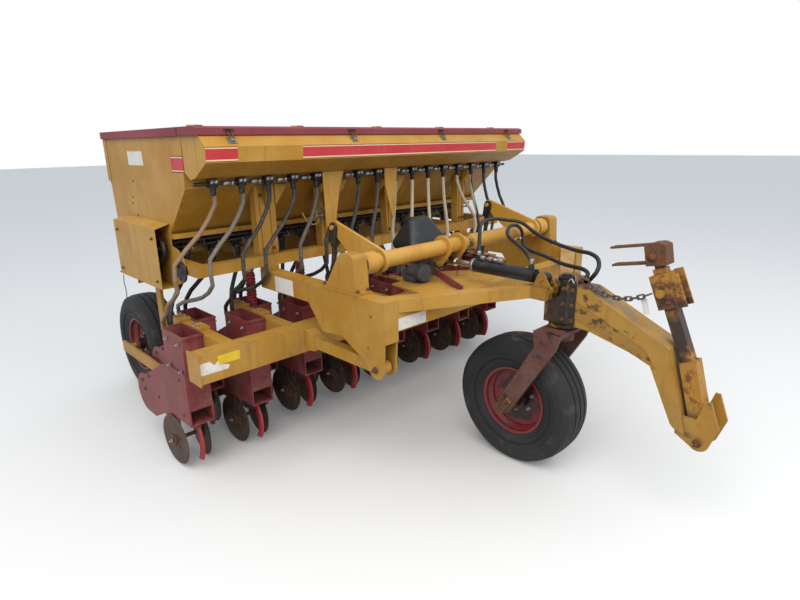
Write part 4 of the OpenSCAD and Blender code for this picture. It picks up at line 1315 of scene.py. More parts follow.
@dataclass
class Rows:
    """Where the sixteen rows are.

    Attributes:
        count: Number of rows.
        pitch: Spacing of the rows.
        front_x: Disc axle of the front rank.
        rank_step: How far the second rank is behind.
        axle_z: Height of the disc axles.
        dropped: Rows that hang lower, and by how much.
    """

    count: int = 16
    pitch: float = 190.5
    front_x: float = -1360
    rank_step: float = 240
    axle_z: float = 232
    dropped: Dict[int, float] = field(default_factory=lambda: {0: 60, 2: 72})

    def y(self, i: float) -> float:
        """Middle of row i."""
        return (i - (self.count - 1) / 2) * self.pitch

    def x(self, i: int) -> float:
        """Disc axle of row i."""
        return self.front_x - (i % 2) * self.rank_step

    def z(self, i: int) -> float:
        """Height of row i's disc axle."""
        return self.axle_z - self.dropped.get(i, 0.0)


# Sub-assemblies


@dataclass
class HoseLines:
    """The two free hydraulic hoses between the cylinder and the nose.

    Attributes:
        routes: Guide points of each hose, by the name of its CAD node.
        radius: Radius of a hose.
    """

    routes: Dict[str, Sequence[Point]] = field(default_factory=lambda: {
        "hose_lower": (
            (120, -150, 1202.5), (120, -150, 1222), (95, -140, 1244), (40, -90, 1256), (-40, -20, 1264),
            (-130, 60, 1268), (-220, 140, 1272), (-290, 220, 1286), (-330, 300, 1306), (-345, 370, 1306),
            (-350, 430, 1290), (-352, 470, 1256), (-348, 480, 1216), (-330, 455, 1186), (-290, 410, 1172),
            (-220, 350, 1168), (-130, 290, 1170), (-40, 240, 1170), (50, 190, 1166), (140, 140, 1164),
            (220, 100, 1168), (290, 66, 1172), (336, 34, 1164), (344, 6, 1146), (326, -8, 1128)),
        "hose_upper": (
            (-218, -150, 1202.5), (-218, -150, 1226), (-232, -130, 1262), (-270, -80, 1306),
            (-320, -10, 1340), (-370, 70, 1352), (-408, 150, 1354), (-424, 240, 1352), (-420, 320, 1344),
            (-400, 390, 1330), (-365, 430, 1324), (-310, 436, 1306), (-230, 400, 1280), (-140, 350, 1262),
            (-50, 300, 1252), (40, 250, 1246), (130, 205, 1242), (220, 155, 1244), (300, 110, 1250),
            (362, 70, 1240), (392, 36, 1212), (392, 14, 1180), (374, 12, 1152), (352, 30, 1130),
            (334, 46, 1118))})
    radius: float = 11

    def build(self) -> None:
        """Makes both hoses and hides the CAD nodes that they replace."""
        for name, points in self.routes.items():
            line = smooth_path(points, 4, held=True)
            shape = Shape(name + "_cover", Look.RUBBER)
            shape.tube(line, self.radius, 16)
            hose = shape.fix_to("frame")
            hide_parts(name)


@dataclass
class WheelTrim:
    """Bolts, hub caps, valves, axle clamps and sidewall rings of the three wheels.

    Attributes:
        wheels: Body, hub and visible side.
        bolt_circle: Radius of the wheel bolts.
        bolts: Number of wheel bolts.
        front_cap: Profile of the front wheel's hub cap.
        rear_cap: Profile of the rear wheels' hub caps.
        valve_circle: Radius at which the valve stands.
        valve_angle: Its direction, in radians.
        clamp_face: Inner and outer face of the axle's clamp plates.
        clamp_half: Half the length and half the width of a clamp plate.
        clamp_lean: Lean of the clamp plates, in degrees.
        clamp_bolt: How far its bolts are from the axle.
        moulded: Radius and side of each ring on the sidewalls.
    """

    wheels: Tuple[Tuple[str, Point, int], ...] = (
        ("front_wheel", (0.0, 0.0, 378), -1),
        ("rear_right_wheel", (-2580, -1150, 378), -1),
        ("rear_left_wheel", (-2580, 1150, 378), 1))
    bolt_circle: float = 86
    bolts: int = 6
    front_cap: Outline = ((30, 0.3), (36, 0.3), (36, 5), (33, 9))
    rear_cap: Outline = ((31, 0.3), (38, 0.3), (38, 10), (34, 18), (22, 24), (8, 26))
    valve_circle: float = 150
    valve_angle: float = 0.9
    clamp_face: Pair = (175.3, 181)
    clamp_half: Pair = (58, 17)
    clamp_lean: float = -52
    clamp_bolt: float = 44
    moulded: Tuple[Pair, ...] = ((252, 112), (259, 113.4), (287, 117.2))

    def build(self) -> None:
        """Makes every wheel's trim."""
        for body, hub, side in self.wheels:
            self._hub(body, hub, side)
            self._sidewall(body, hub)
        self._axle_clamps()

    @staticmethod
    def _from_hub(hub: Point, radius: float, angle: float, out: float) -> Point:
        """A place on a wheel, by its radius, its angle and how far out it is along Y."""
        return hub[0] + radius * math.cos(angle), hub[1] + out, hub[2] + radius * math.sin(angle)

    def _hub(self, body: str, hub: Point, side: int) -> None:
        """Adds the wheel bolts, the hub cap and the valve.

        Args:
            body: The wheel's CAD body.
            hub: Its hub.
            side: The side on which it shows.
        """
        spots = [Spot(self._from_hub(hub, self.bolt_circle, 2 * math.pi * (k + 0.3) / self.bolts, side * 14),
                      (0, side, 0), 1.25, 17 * k) for k in range(self.bolts)]
        Repeater.place(body + "_bolts", Units.stud(), spots, Look.BRIGHT, body)
        cap = Shape(body + "_hub_cap", Look.RUSTY)
        profile = self.front_cap if body == "front_wheel" else self.rear_cap
        cap.ring((hub[0], hub[1] + side * 95, hub[2]), (0, side, 0), profile, 28)
        cap.fix_to(body)
        valve = Shape(body + "_valve", Look.RUBBER)
        x, y, z = self._from_hub(hub, self.valve_circle, self.valve_angle, side * 42)
        valve.rod((x, y, z), (x - 8, y + side * 30, z - 10), 4.2, 10)
        valve.fix_to(body)

    def _sidewall(self, body: str, hub: Point) -> None:
        """Adds the moulded rings of both sidewalls.

        Args:
            body: The wheel's CAD body.
            hub: Its hub.
        """
        rings = Shape(body + "_sidewall_rings", Look.TYRE)
        for side in (-1, 1):
            for radius, out in self.moulded:
                rings.ring((hub[0], hub[1] + side * out, hub[2]), (0, side, 0),
                           [(radius - 2.2, -2.0), (radius - 1.2, 1.2), (radius + 1.2, 1.2),
                            (radius + 2.2, -2.0)], 72, closed=True)
        rings.fix_to(body, "tyre")

    def _axle_clamps(self) -> None:
        """Adds the plates that hold the front axle against the fork legs."""
        plates = Shape("axle_clamp_plates", Look.POLE_YELLOW)
        nuts = []
        long, wide = self.clamp_half
        turn = tilted((0, 0, self.wheels[0][1][2]), self.clamp_lean)
        for side in (-1, 1):
            y0, y1 = sorted(side * face for face in self.clamp_face)
            plates.box(-long, long, y0, y1, -wide, wide, turn)
            for along in (-self.clamp_bolt, self.clamp_bolt):
                place = turn @ Vector((along, side * self.clamp_face[1], 0))
                nuts.append(Spot(tuple(place), (0, side, 0), 1.15, 20))
        plates.fix_to("caster")
        Repeater.place("axle_clamp_nuts", Units.stud(), nuts, Look.RUSTY, "caster")


@dataclass
class OpenerTrim:
    """Springs, bolts and disc nuts of the opener gang.

    Attributes:
        rows: Where the rows are.
        half: Half the width of an opener's body.
        disc_nut: How far the disc nuts are from the middle of their row.
        side_bolts: Place from the disc axle, and size, of each side plate's bolts.
        face_bolts: Places along X and heights of the bolts in a head's face.
        top_bolts: Places along X of the bolts on top of a head.
        top_out: How far those are from the middle of their row.
        top_z: Their height.
        tall_foot: Foot of the tall springs.
        tall_coil: Radius, wire radius, turns and height of a tall spring.
        tall_core: Foot, top and radius of the rod in it.
        tall_nut: Height of the nut on top of it.
        first_tall: First row with a tall spring.
        short_low: Foot of a short spring above its disc axle.
        short_top: Height at which the short springs end.
        short_coil: Radius, wire radius and pitch of a short spring.
    """

    rows: Rows = field(default_factory=Rows)
    half: float = 68.3
    disc_nut: float = 101
    side_bolts: Tuple[Tuple[float, float, float], ...] = (
        (-455, 235, 1.1), (-425, 185, 0.9), (-330, 300, 0.9), (-200, 200, 0.8), (150, 205, 0.8),
        (150, 420, 0.8))
    face_bolts: Tuple[Pair, Pair] = ((40, 190), (650, 805))
    top_bolts: Pair = (72, 132)
    top_out: float = 78
    top_z: float = 859
    tall_foot: float = 625
    tall_coil: Tuple[float, float, float, float] = (29, 5.2, 19, 408)
    tall_core: Tuple[float, float, float] = (620, 1046, 14)
    tall_nut: float = 1048
    first_tall: int = 3
    short_low: float = 410
    short_top: float = 779
    short_coil: Tuple[float, float, float] = (18, 3.6, 11)

    def build(self) -> None:
        """Makes the trim of every row."""
        self._nuts_and_bolts()
        self._tall_springs()
        self._short_springs()

    def _nuts_and_bolts(self) -> None:
        """Sets the nuts of the discs and the bolts of the plates and heads."""
        rows = self.rows
        hubs: List[Spot] = []
        bolts: List[Spot] = []
        head_bolts: List[Spot] = []
        for i in range(rows.count):
            x, y, z = rows.x(i), rows.y(i), rows.z(i)
            outer = -1 if i % 2 == 0 else 1
            for side in (-1, 1):
                hubs.append(Spot((x, y + side * self.disc_nut, z), (0, side, 0), 1.15, 23 * i))
                for bx, bz, size in self.side_bolts:
                    bolts.append(Spot((x + bx, y + side * self.half, z + bz), (0, side, 0), size, 31 * i + bx))
            for bx in self.face_bolts[0]:
                for bz in self.face_bolts[1]:
                    head_bolts.append(Spot((x + bx, y + outer * self.half, bz), (0, outer, 0), 1.0, 11 * i))
            for bx in self.top_bolts:
                head_bolts.append(Spot((x + bx, y - outer * self.top_out, self.top_z), (0, 0, 1), 0.9, 7 * i))
        Repeater.place("disc_hub_nuts", Units.stud(), hubs, Look.BRIGHT, "opener_gang")
        Repeater.place("opener_bolts", Units.bolt(), bolts, Look.RUSTY, "opener_gang")
        Repeater.place("head_bolts", Units.stud(), head_bolts, Look.BRIGHT, "opener_gang")

    def _tall_springs(self) -> None:
        """Adds the red springs of the rear rank, with their rods and nuts."""
        tall = [Spot((self.rows.x(i) + 100, self.rows.y(i), self.tall_foot), spin=40 * i)
                for i in range(self.first_tall, self.rows.count, 2)]
        Repeater.place("tall_spring_coils", Units.coil(*self.tall_coil), tall, Look.RED, "opener_gang",
                       "red_paint")
        nuts = [Spot((s.at[0], s.at[1], self.tall_nut), size=1.9, spin=s.spin) for s in tall]
        Repeater.place("tall_spring_nuts", Units.stud(), nuts, Look.BRIGHT, "opener_gang")
        cores = Shape("tall_spring_cores", Look.GREASY)
        foot, top, radius = self.tall_core
        for x, y, _ in (s.at for s in tall):
            cores.rod((x, y, foot), (x, y, top), radius, 12)
        cores.fix_to("opener_gang")

    def _short_springs(self) -> None:
        """Adds the black springs of the front rank, longer where a row hangs lower."""
        rods = Shape("short_spring_rods", Look.BRIGHT)
        by_height: Dict[float, List[Spot]] = {}
        for i in range(0, self.rows.count, 2):
            low = self.rows.z(i) + self.short_low
            x, y, high = self.rows.x(i) - 150, self.rows.y(i) + 28, self.short_top - low
            by_height.setdefault(high, []).append(Spot((x, y, low)))
            rods.rod((x, y, low), (x, y, low + high), 7, 10)
        rods.fix_to("opener_gang")
        radius, wire, pitch = self.short_coil
        for k, (high, spots) in enumerate(sorted(by_height.items())):
            Repeater.place("short_spring_coils_%d" % k, Units.coil(radius, wire, high / pitch, high), spots,
                           Look.BLACK, "opener_gang")


@dataclass
class HopperTrim:
    """Stripes, blank labels, latches, rivets and plugs of the hopper and grass-seed box.

    Attributes:
        half: Half width of the hopper.
        face: The front box's face, as (x, z) of its top and bottom edge.
        bare: Lengths of the stripe, along Y, that are left unpainted.
        bands: The stripe's lines: finish, top and bottom as shares of the face, thickness.
        end_lines: Those on the hopper's end: finish, lower and upper height, thickness.
        end_x: Rear end, step and front end of the stripe on the hopper's end.
        label: Limits of the blank label on the end, along x and z.
        plugs: Places of the plugs in both ends, as (x, z).
        latches: Places of the lid latches along Y.
        latch_foot: Place of a latch on the box, as (x, z).
        latch_lean: Lean of the box there, in degrees.
        hook_top: Where a latch's wire hooks on, as (x, z).
        rivet_step: Spacing of the rivets along Y.
    """

    half: float = 1340
    face: Tuple[Pair, Pair] = ((-925, 1815), (-932, 1740))
    bare: Tuple[Pair, ...] = ((-1170, -785), (955, 1100))
    bands: Tuple[Tuple[Look, float, float, float], ...] = (
        (Look.STRIPE, 0.13, 0.80, 0.5), (Look.LID, 0.0, 0.05, 0.5),
        (Look.PINSTRIPE, 0.05, 0.13, 0.4), (Look.PINSTRIPE, 0.80, 0.90, 0.4),
        (Look.LID, 0.90, 0.95, 0.5))
    end_lines: Tuple[Tuple[Look, float, float, float], ...] = (
        (Look.PINSTRIPE, 1762, 1768, 0.5), (Look.PINSTRIPE, 1694, 1700, 0.5),
        (Look.LID, 1768, 1773, 0.6), (Look.LID, 1688, 1694, 0.6))
    end_x: Tuple[float, float, float] = (-1330, -1196, -1184)
    label: Tuple[float, float, float, float] = (-1950, -1720, 1716, 1796)
    plugs: Tuple[Pair, ...] = ((-1921, 1623), (-1962, 1525), (-1978, 1488), (-1922, 1418),
                                              (-1500, 1360))
    latches: Tuple[float, ...] = (-1183, -403, 384, 1144)
    latch_foot: Pair = (-955, 1842.5)
    latch_lean: float = 42.5
    hook_top: Pair = (-972, 1893)
    rivet_step: float = 122

    def build(self) -> None:
        """Makes all the hopper's trim."""
        self._stripes()
        self._labels()
        self._latches()
        self._rivets()

    def _on_face(self, t: float) -> Pair:
        """Point (x, z) of the face, t from 0 at its top to 1 at its bottom."""
        (x0, z0), (x1, z1) = self.face
        return x0 + (x1 - x0) * t, z0 + (z1 - z0) * t

    def _band(self, shape: Shape, y0: float, y1: float, t0: float, t1: float, thick: float) -> None:
        """Adds a thin band to the box's face.

        Args:
            shape: Takes the band.
            y0, y1: Its ends.
            t0, t1: Its top and bottom as shares of the face.
            thick: Its thickness.
        """
        (xa, za), (xb, zb) = self._on_face(t0), self._on_face(t1)
        shape.add([at(xa + d, y, za) for d in (0.0, thick) for y in (y0, y1)]
                  + [at(xb + d, y, zb) for d in (0.0, thick) for y in (y0, y1)], BOX_FACES)

    def _stripes(self) -> None:
        """Lays the stripe along the box and round the near end of the hopper."""
        shapes = {finish: Shape(name, finish) for finish, name in (
            (Look.STRIPE, "red_stripe"), (Look.PINSTRIPE, "cream_pinstripes"),
            (Look.LID, "dark_pinstripes"))}
        edges = [2.0 - self.half, *(y for gap in self.bare for y in gap), self.half - 2.0]
        for y0, y1 in zip(edges[0::2], edges[1::2]):
            for finish, top, bottom, thick in self.bands:
                self._band(shapes[finish], y0, y1, top, bottom, thick)
        side = -self.half
        rear, step, front = self.end_x
        shapes[Look.STRIPE].box(step, front, side - 1.0, side, 1702, 1762)
        shapes[Look.STRIPE].box(rear, step, side - 0.6, side, 1700, 1762)
        for finish, low, high, thick in self.end_lines:
            shapes[finish].box(rear, front, side - thick, side, low, high)
        for shape in shapes.values():
            shape.fix_to("frame")

    def _labels(self) -> None:
        """Adds the blank label and the plugs in both ends."""
        label = Shape("blank_end_label", Look.LABEL)
        x0, x1, z0, z1 = self.label
        label.box(x0, x1, -self.half - 0.8, -self.half, z0, z1)
        label.fix_to("frame")
        Repeater.place("gauge_plugs", Units.plug(),
                       [Spot((x, side * self.half, z), (0, side, 0), 1.0)
                        for x, z in self.plugs for side in (-1, 1)], Look.GREASY, "frame")

    def _latches(self) -> None:
        """Adds the lid latches: plates on the box, wire hooks, keepers on the lid."""
        plates = Shape("latch_plates", Look.BRIGHT)
        hooks = Shape("latch_hooks", Look.RUSTY)
        keepers = Shape("latch_keepers", Look.RUSTY)
        for y in self.latches:
            slope = tilted((self.latch_foot[0], y, self.latch_foot[1]), self.latch_lean)
            plates.box(-18, 22, -22, 22, 0.5, 3.5, slope)
            plates.box(-6, 14, -12, 12, 3.5, 15, slope)
            ends = [(self.hook_top[0], y + d, self.hook_top[1]) for d in (-9, 9)]
            for end, d in zip(ends, (-9, 9)):
                hooks.rod(tuple(slope @ Vector((4, d, 14))), end, 3.2, 8)
            hooks.rod(*ends, 3.2, 8)
            keepers.box(-975, -963, y - 26, y + 26, 1896, 1899.5)
            keepers.box(-975, -972, y - 26, y + 26, 1886, 1899.5)
        plates.fix_to("frame")
        hooks.fix_to("frame")
        keepers.fix_to("front_lid_body")

    def _rivets(self) -> None:
        """Sets the rivets along the sheet edges."""
        spots: List[Spot] = []
        y = -self.half + 60
        while y < self.half:
            spots.append(Spot((-996, y, 1699), (0.46, 0, -0.89), 0.9))
            spots.append(Spot((-2354, y, 1855), (-1, 0, 0), 0.9))
            y += self.rivet_step
        for side in (-1, 1):
            along = [(-2320 + k * 132, 1856) for k in range(9)]
            along += [(-1180 - 40 * k * 1.35, 1590 - 48 * k) for k in range(6)]
            spots += [Spot((x, side * self.half, z), (0, side, 0), 0.8) for x, z in along]
        Repeater.place("sheet_rivets", Units.rivet(), spots, Look.YELLOW, "frame", "yellow_paint")


@dataclass
class FrameTrim:
    """Bolts, blank labels, weld seams and post plates of the frame.

    Attributes:
        stand_x: Places along X of the bearing stands' bolts.
        stand_y: Their places along Y, on both sides.
        draft_pin: Place of the draft pins, as (x, z).
        posts: Each post's place along Y, and the spacing of its lower and upper bolts.
        guard_bolts: Places along X and heights of the bolts in the drive guard.
        weld: Radius of a weld seam.
        stand_seams: Places along X of the seams under the bearing stands.
        beam_seam: Place along X of the upright seams on the side beams.
        nose_seam: Place along X of the seams on the nose.
        torn_label: Outline of the torn label, as (y, z).
        post_plates: Outline of each post plate, as (y, z), and its web's place along Y.
        web: Outline of a web, as (x, z).
    """

    stand_x: Pair = (-622, -358)
    stand_y: Pair = (850, 915)
    draft_pin: Pair = (-225, 765)
    posts: Tuple[Tuple[float, float, float], ...] = ((-880, 65, 65), (-430, 60, 70), (110, 30, 60),
                                                     (880, 40, 45))
    guard_bolts: Tuple[Pair, Pair] = ((-1500, -2050), (1085, 1330))
    weld: float = 4.0
    stand_seams: Pair = (-595, -360)
    beam_seam: float = -165
    nose_seam: float = 302
    torn_label: Outline = (
        (-1536, 742), (-1392, 741), (-1380, 760), (-1416, 773), (-1443, 796),
        (-1462, 780), (-1484, 805), (-1536, 802))
    post_plates: Sequence[Tuple[Outline, float]] = (
        (((-549, 1661), (-388, 1661), (-420, 1575), (-469, 1336), (-538, 1334)), -543),
        (((-46, 1661), (70, 1661), (33, 1340), (18, 1340), (-44, 1551)), -40))
    web: Outline = ((-1194, 1590), (-1090, 1590), (-1090, 1560), (-1194, 1470))

    def build(self) -> None:
        """Makes the frame's trim."""
        self._bolts()
        self._labels()
        self._welds()
        self._post_plates()

    def _bolts(self) -> None:
        """Sets the nuts of the stands, draft pins, posts and guard."""
        spots: List[Spot] = []
        x, z = self.draft_pin
        for side in (-1, 1):
            spots += [Spot((sx, side * sy, 1122), (0, 0, 1), 1.1, sx)
                      for sx in self.stand_x for sy in self.stand_y]
            spots.append(Spot((x, side * 936, z), (0, side, 0), 1.5, 12))
            spots.append(Spot((x, side * 834, z), (0, -side, 0), 1.5, 40))
        for y, low, high in self.posts:
            for s in (-1, 1):
                spots.append(Spot((-1194, y + s * low * 0.5, 1235), (1, 0, 0), 0.9, y))
                spots.append(Spot((-1194, y + s * high * 0.5, 1545), (1, 0, 0), 0.9, y))
        spots += [Spot((gx, -1430, gz), (0, -1, 0), 0.9, gz)
                  for gx in self.guard_bolts[0] for gz in self.guard_bolts[1]]
        Repeater.place("frame_bolts", Units.stud(), spots, Look.RUSTY, "frame", "rusty_steel")

    def _labels(self) -> None:
        """Adds the blank labels of the frame and of the gang."""
        white = Shape("blank_white_labels", Look.LABEL)
        white.box(-1080, -898, -930.7, -930, 1006, 1096)
        white.box(-165, -164.3, -836, -640, 955, 1016)
        white.fix_to("frame")
        torn = Shape("torn_gang_label", Look.LABEL)
        torn.prism(self.torn_label, across_front, -825, -824.6)
        torn.fix_to("opener_gang")
        amber = Shape("yellow_gang_label", Look.LABEL_YELLOW)
        amber.box(-825, -824.2, -1440, -1322, 774, 822)
        amber.fix_to("opener_gang")

    def _seam(self, welds: Shape, rng: random.Random, a: Point, b: Point) -> None:
        """Adds an uneven weld seam from a to b.

        Args:
            welds: Takes the seam.
            rng: Draws its thickness from place to place.
            a, b: Its ends.
        """
        va, vb = Vector(a), Vector(b)
        n = max(3, int((vb - va).length / 9.0))
        path = [tuple(va.lerp(vb, k / n)) for k in range(n + 1)]
        welds.tube(path, self.weld, 6, [self.weld * rng.uniform(0.75, 1.15) for _ in path])

    def _welds(self) -> None:
        """Adds the seams of the stands, side beams and nose."""
        welds = Shape("weld_seams", Look.BEAM_YELLOW)
        rng = random.Random(4)
        beam, nose = self.beam_seam, self.nose_seam
        for side in (-1, 1):
            for x in self.stand_seams:
                self._seam(welds, rng, (x, side * 842, 1122), (x, side * 926, 1122))
            self._seam(welds, rng, (beam, side * 840, 1002), (beam, side * 840, 1108))
            self._seam(welds, rng, (nose, side * 75, 1105), (nose, side * 75, 905))
        self._seam(welds, rng, (nose, -75, 1105), (nose, 75, 1105))
        welds.fix_to("frame", "yellow_paint")

    def _post_plates(self) -> None:
        """Adds the tapered plates that stand before the two middle posts."""
        plates = Shape("post_face_plates", Look.YELLOW)
        for outline, web in self.post_plates:
            plates.prism(outline, across_front, -1090, -1084)
            plates.prism(self.web, along_side, web, web + 5)
        plates.fix_to("frame", "yellow_paint")


@dataclass
class HydraulicTrim:
    """Fittings, line and gland of the lift cylinder.

    Attributes:
        axis_y: Place of the cylinder along Y.
        ports: Places of its two ports along X.
        port_z: Height of the fittings.
        gland_x: Rear end of the barrel.
        gland_z: Height of the cylinder's axis.
        gland: Profile of the gland.
        line_z: Height of the steel line along the barrel.
        line_x: Its ends.
        line_nuts: Places of its nuts.
    """

    axis_y: float = -150
    ports: Pair = (120, -218)
    port_z: float = 1188
    gland_x: float = -240
    gland_z: float = 1150
    gland: Outline = ((37, 0), (39, 2), (39, 12), (35, 14), (35, 22))
    line_z: float = 1199
    line_x: Pair = (-212, -60)
    line_nuts: Tuple[float, ...] = (-200, -150, -84)

    def build(self) -> None:
        """Makes the fittings, the gland and the line."""
        spots = [Spot((x, self.axis_y, self.port_z), size=0.95) for x in self.ports]
        Repeater.place("port_fittings", Units.fitting(), spots, Look.BRIGHT, "barrel_body")
        gland = Shape("cylinder_gland", Look.BRIGHT)
        gland.ring((self.gland_x, self.axis_y, self.gland_z), (-1, 0, 0), self.gland, 32)
        gland.fix_to("barrel_body")
        line = Shape("barrel_line", Look.BRIGHT)
        self._along(line, *self.line_x, 6.0, 12)
        for x in self.line_nuts:
            line.hexagon((x, self.axis_y, self.line_z), (1, 0, 0), 25, 22)
        self._along(line, -128, -98, 10, 14)
        line.fix_to("barrel_body")

    def _along(self, line: Shape, x0: float, x1: float, radius: float, sides: int) -> None:
        """Adds a round length of the line from x0 to x1."""
        line.rod((x0, self.axis_y, self.line_z), (x1, self.axis_y, self.line_z), radius, sides)


@dataclass
class HitchTrim:
    """Straps, shackle, chain lug, nuts and blank tag of the nose and the hitch.

    Attributes:
        pivot: Place of the pole's pivot, as (x, z).
        tag_at: Place of the hanging tag.
        straps: Limits of the two straps on the nose.
        bar: Limits of the bar between them.
        bolt_x: Places of the strap bolts along X.
        bolt_z: Their heights.
        shackle: Line of the shackle's bow.
        lug_at: Place of the chain lug's eye.
    """

    pivot: Pair = (975, 497)
    tag_at: Point = (672, -52, 1072)
    straps: Tuple[Tuple[float, ...], ...] = ((263, 285, -84, -76, 905, 1134),
                                             (306, 340, -85, -76, 900, 1126))
    bar: Tuple[float, ...] = (286, 305, -82, -76, 912, 1122)
    bolt_x: Pair = (274, 323)
    bolt_z: Tuple[float, float, float] = (930, 1012, 1092)
    shackle: Sequence[Point] = ((287, -66, 1098), (284, -64, 1122), (300, -62, 1142), (316, -64, 1122),
                                (313, -66, 1098))
    lug_at: Point = (379, -65, 1148)

    def build(self) -> None:
        """Makes the trim of the nose and the hitch."""
        x, z = self.pivot
        nuts = [Spot((x, side * 83, z), (0, side, 0), 1.7, 20) for side in (-1, 1)]
        Repeater.place("pivot_nuts", Units.stud(), nuts, Look.RUSTY, "frame")
        tag = Shape("blank_hanging_tag", Look.LABEL)
        tag.box(-14, 14, -0.6, 0.6, -36, 36, tilted(self.tag_at, -16))
        tag.fix_to("pole_body")
        self._straps()
        self._lug()

    def _straps(self) -> None:
        """Adds the bolted straps on the nose, with the shackle that hangs there."""
        straps = Shape("nose_straps", Look.GREASY)
        for limits in self.straps:
            straps.box(*limits)
        straps.fix_to("frame")
        bar = Shape("nose_strap_bar", Look.NOSE_YELLOW)
        bar.box(*self.bar)
        bar.fix_to("frame")
        bolts = [Spot((x, -85, z), (0, -1, 0), 1.1, z) for x in self.bolt_x for z in self.bolt_z]
        Repeater.place("nose_strap_bolts", Units.stud(), bolts, Look.RUSTY, "frame")
        shackle = Shape("nose_shackle", Look.BRIGHT)
        shackle.tube(smooth_path(self.shackle), 5.5, 10)
        shackle.rod((280, -66, 1100), (322, -66, 1100), 6.5, 12)
        shackle.fix_to("frame")

    def _lug(self) -> None:
        """Adds the lug that the chain hangs from."""
        lug = Shape("chain_lug", Look.RUSTY)
        x, y, z = self.lug_at
        lug.box(x - 11, x + 11, y, y + 10, 1080, z + 2.0)
        lug.ring(self.lug_at, (0, 1, 0), [(15, 0.0), (15, 10)], 20)
        lug.fix_to("frame")


@dataclass
class DriveTrim:
    """Chain, hub nuts, bearing plate and disc of the ground drive.

    Attributes:
        sprockets: Shafts as (x, z, pitch radius).
        y: Middle plane of the chain.
        out: How far the chain's own line lies outside the pitch radius.
        link: Length of a link between its pins.
        plate: Outline of the bearing plate, as (x, z).
        disc_at: Middle of the drive disc.
        disc: Its profile.
    """

    sprockets: Tuple[Tuple[float, float, float], ...] = ((-1530, 1262, 62), (-1690, 1120, 46))
    y: float = -1386
    out: float = 2.0
    link: float = 16
    plate: Outline = (
        (-1500, 1060), (-1449, 1283), (-1374, 1270), (-1320, 1235), (-1300, 1190), (-1303, 1139),
        (-1340, 1090), (-1438, 1060))
    disc_at: Point = (-1345, -1350, 1150)
    disc: Outline = ((30, -4), (58, -4), (58, 4), (44, 8), (30, 8), (26, 26), (14, 28))

    def build(self) -> None:
        """Makes the chain, the nuts, the plate and the disc."""
        Repeater.place("drive_chain_links", Units.chain_link(), self._links(), Look.GREASY, "frame",
                       "dark_metal")
        hubs = [Spot((x, -1408, z), (0, -1, 0), 1.5, 20) for x, z, _ in self.sprockets]
        Repeater.place("drive_hub_nuts", Units.stud(), hubs, Look.BRIGHT, "frame")
        plate = Shape("drive_bearing_plate", Look.YELLOW)
        plate.prism(self.plate, along_side, -1346, -1342)
        plate.fix_to("frame", "yellow_paint")
        disc = Shape("drive_disc", Look.BLACK)
        disc.ring(self.disc_at, (0, -1, 0), self.disc, 40)
        disc.fix_to("frame")

    def _links(self) -> List[Spot]:
        """A spot for every second link, turned along the chain's line."""
        line = self._line()
        total = sum((Vector(b) - Vector(a)).length for a, b in zip(line, line[1:] + line[:1]))
        count = 2 * round(total / self.link / 2)
        pitch = total / count
        spots = []
        for k in range(0, count, 2):
            a, b = self._along(line, k * pitch), self._along(line, (k + 1) * pitch)
            turn = math.degrees(math.atan2(b.z - a.z, b.x - a.x))
            spots.append(Spot(tuple((a + b) / 2), (0, -1, 0), 1.0, turn))
        return spots

    def _line(self) -> List[Point]:
        """The closed line of the chain's pins."""
        (xa, za, ra), (xb, zb, rb) = self.sprockets
        ra, rb = ra + self.out, rb + self.out
        run = math.hypot(xa - xb, za - zb)
        lean = math.atan2(za - zb, xa - xb)
        turn = math.acos((ra - rb) / run)
        points: List[Point] = []
        for x, z, r, start, sweep, steps in (
                (xa, za, ra, lean + turn, 2 * turn, 40),
                (xb, zb, rb, lean - turn, 2 * math.pi - 2 * turn, 32)):
            for k in range(steps + 1):
                a = start - sweep * k / steps
                points.append((x + r * math.cos(a), self.y, z + r * math.sin(a)))
        return points

    @staticmethod
    def _along(line: Sequence[Point], distance: float) -> Vector:
        """The point at a distance along a closed line.

        Args:
            line: The line's points.
            distance: Distance from its first point.

        Returns:
            The point.
        """
        left = distance
        for a, b in zip(line, [*line[1:], line[0]]):
            va, vb = Vector(a), Vector(b)
            step = (vb - va).length
            if left <= step and step > 0:
                return va.lerp(vb, left / step)
            left -= step
        return Vector(line[0])


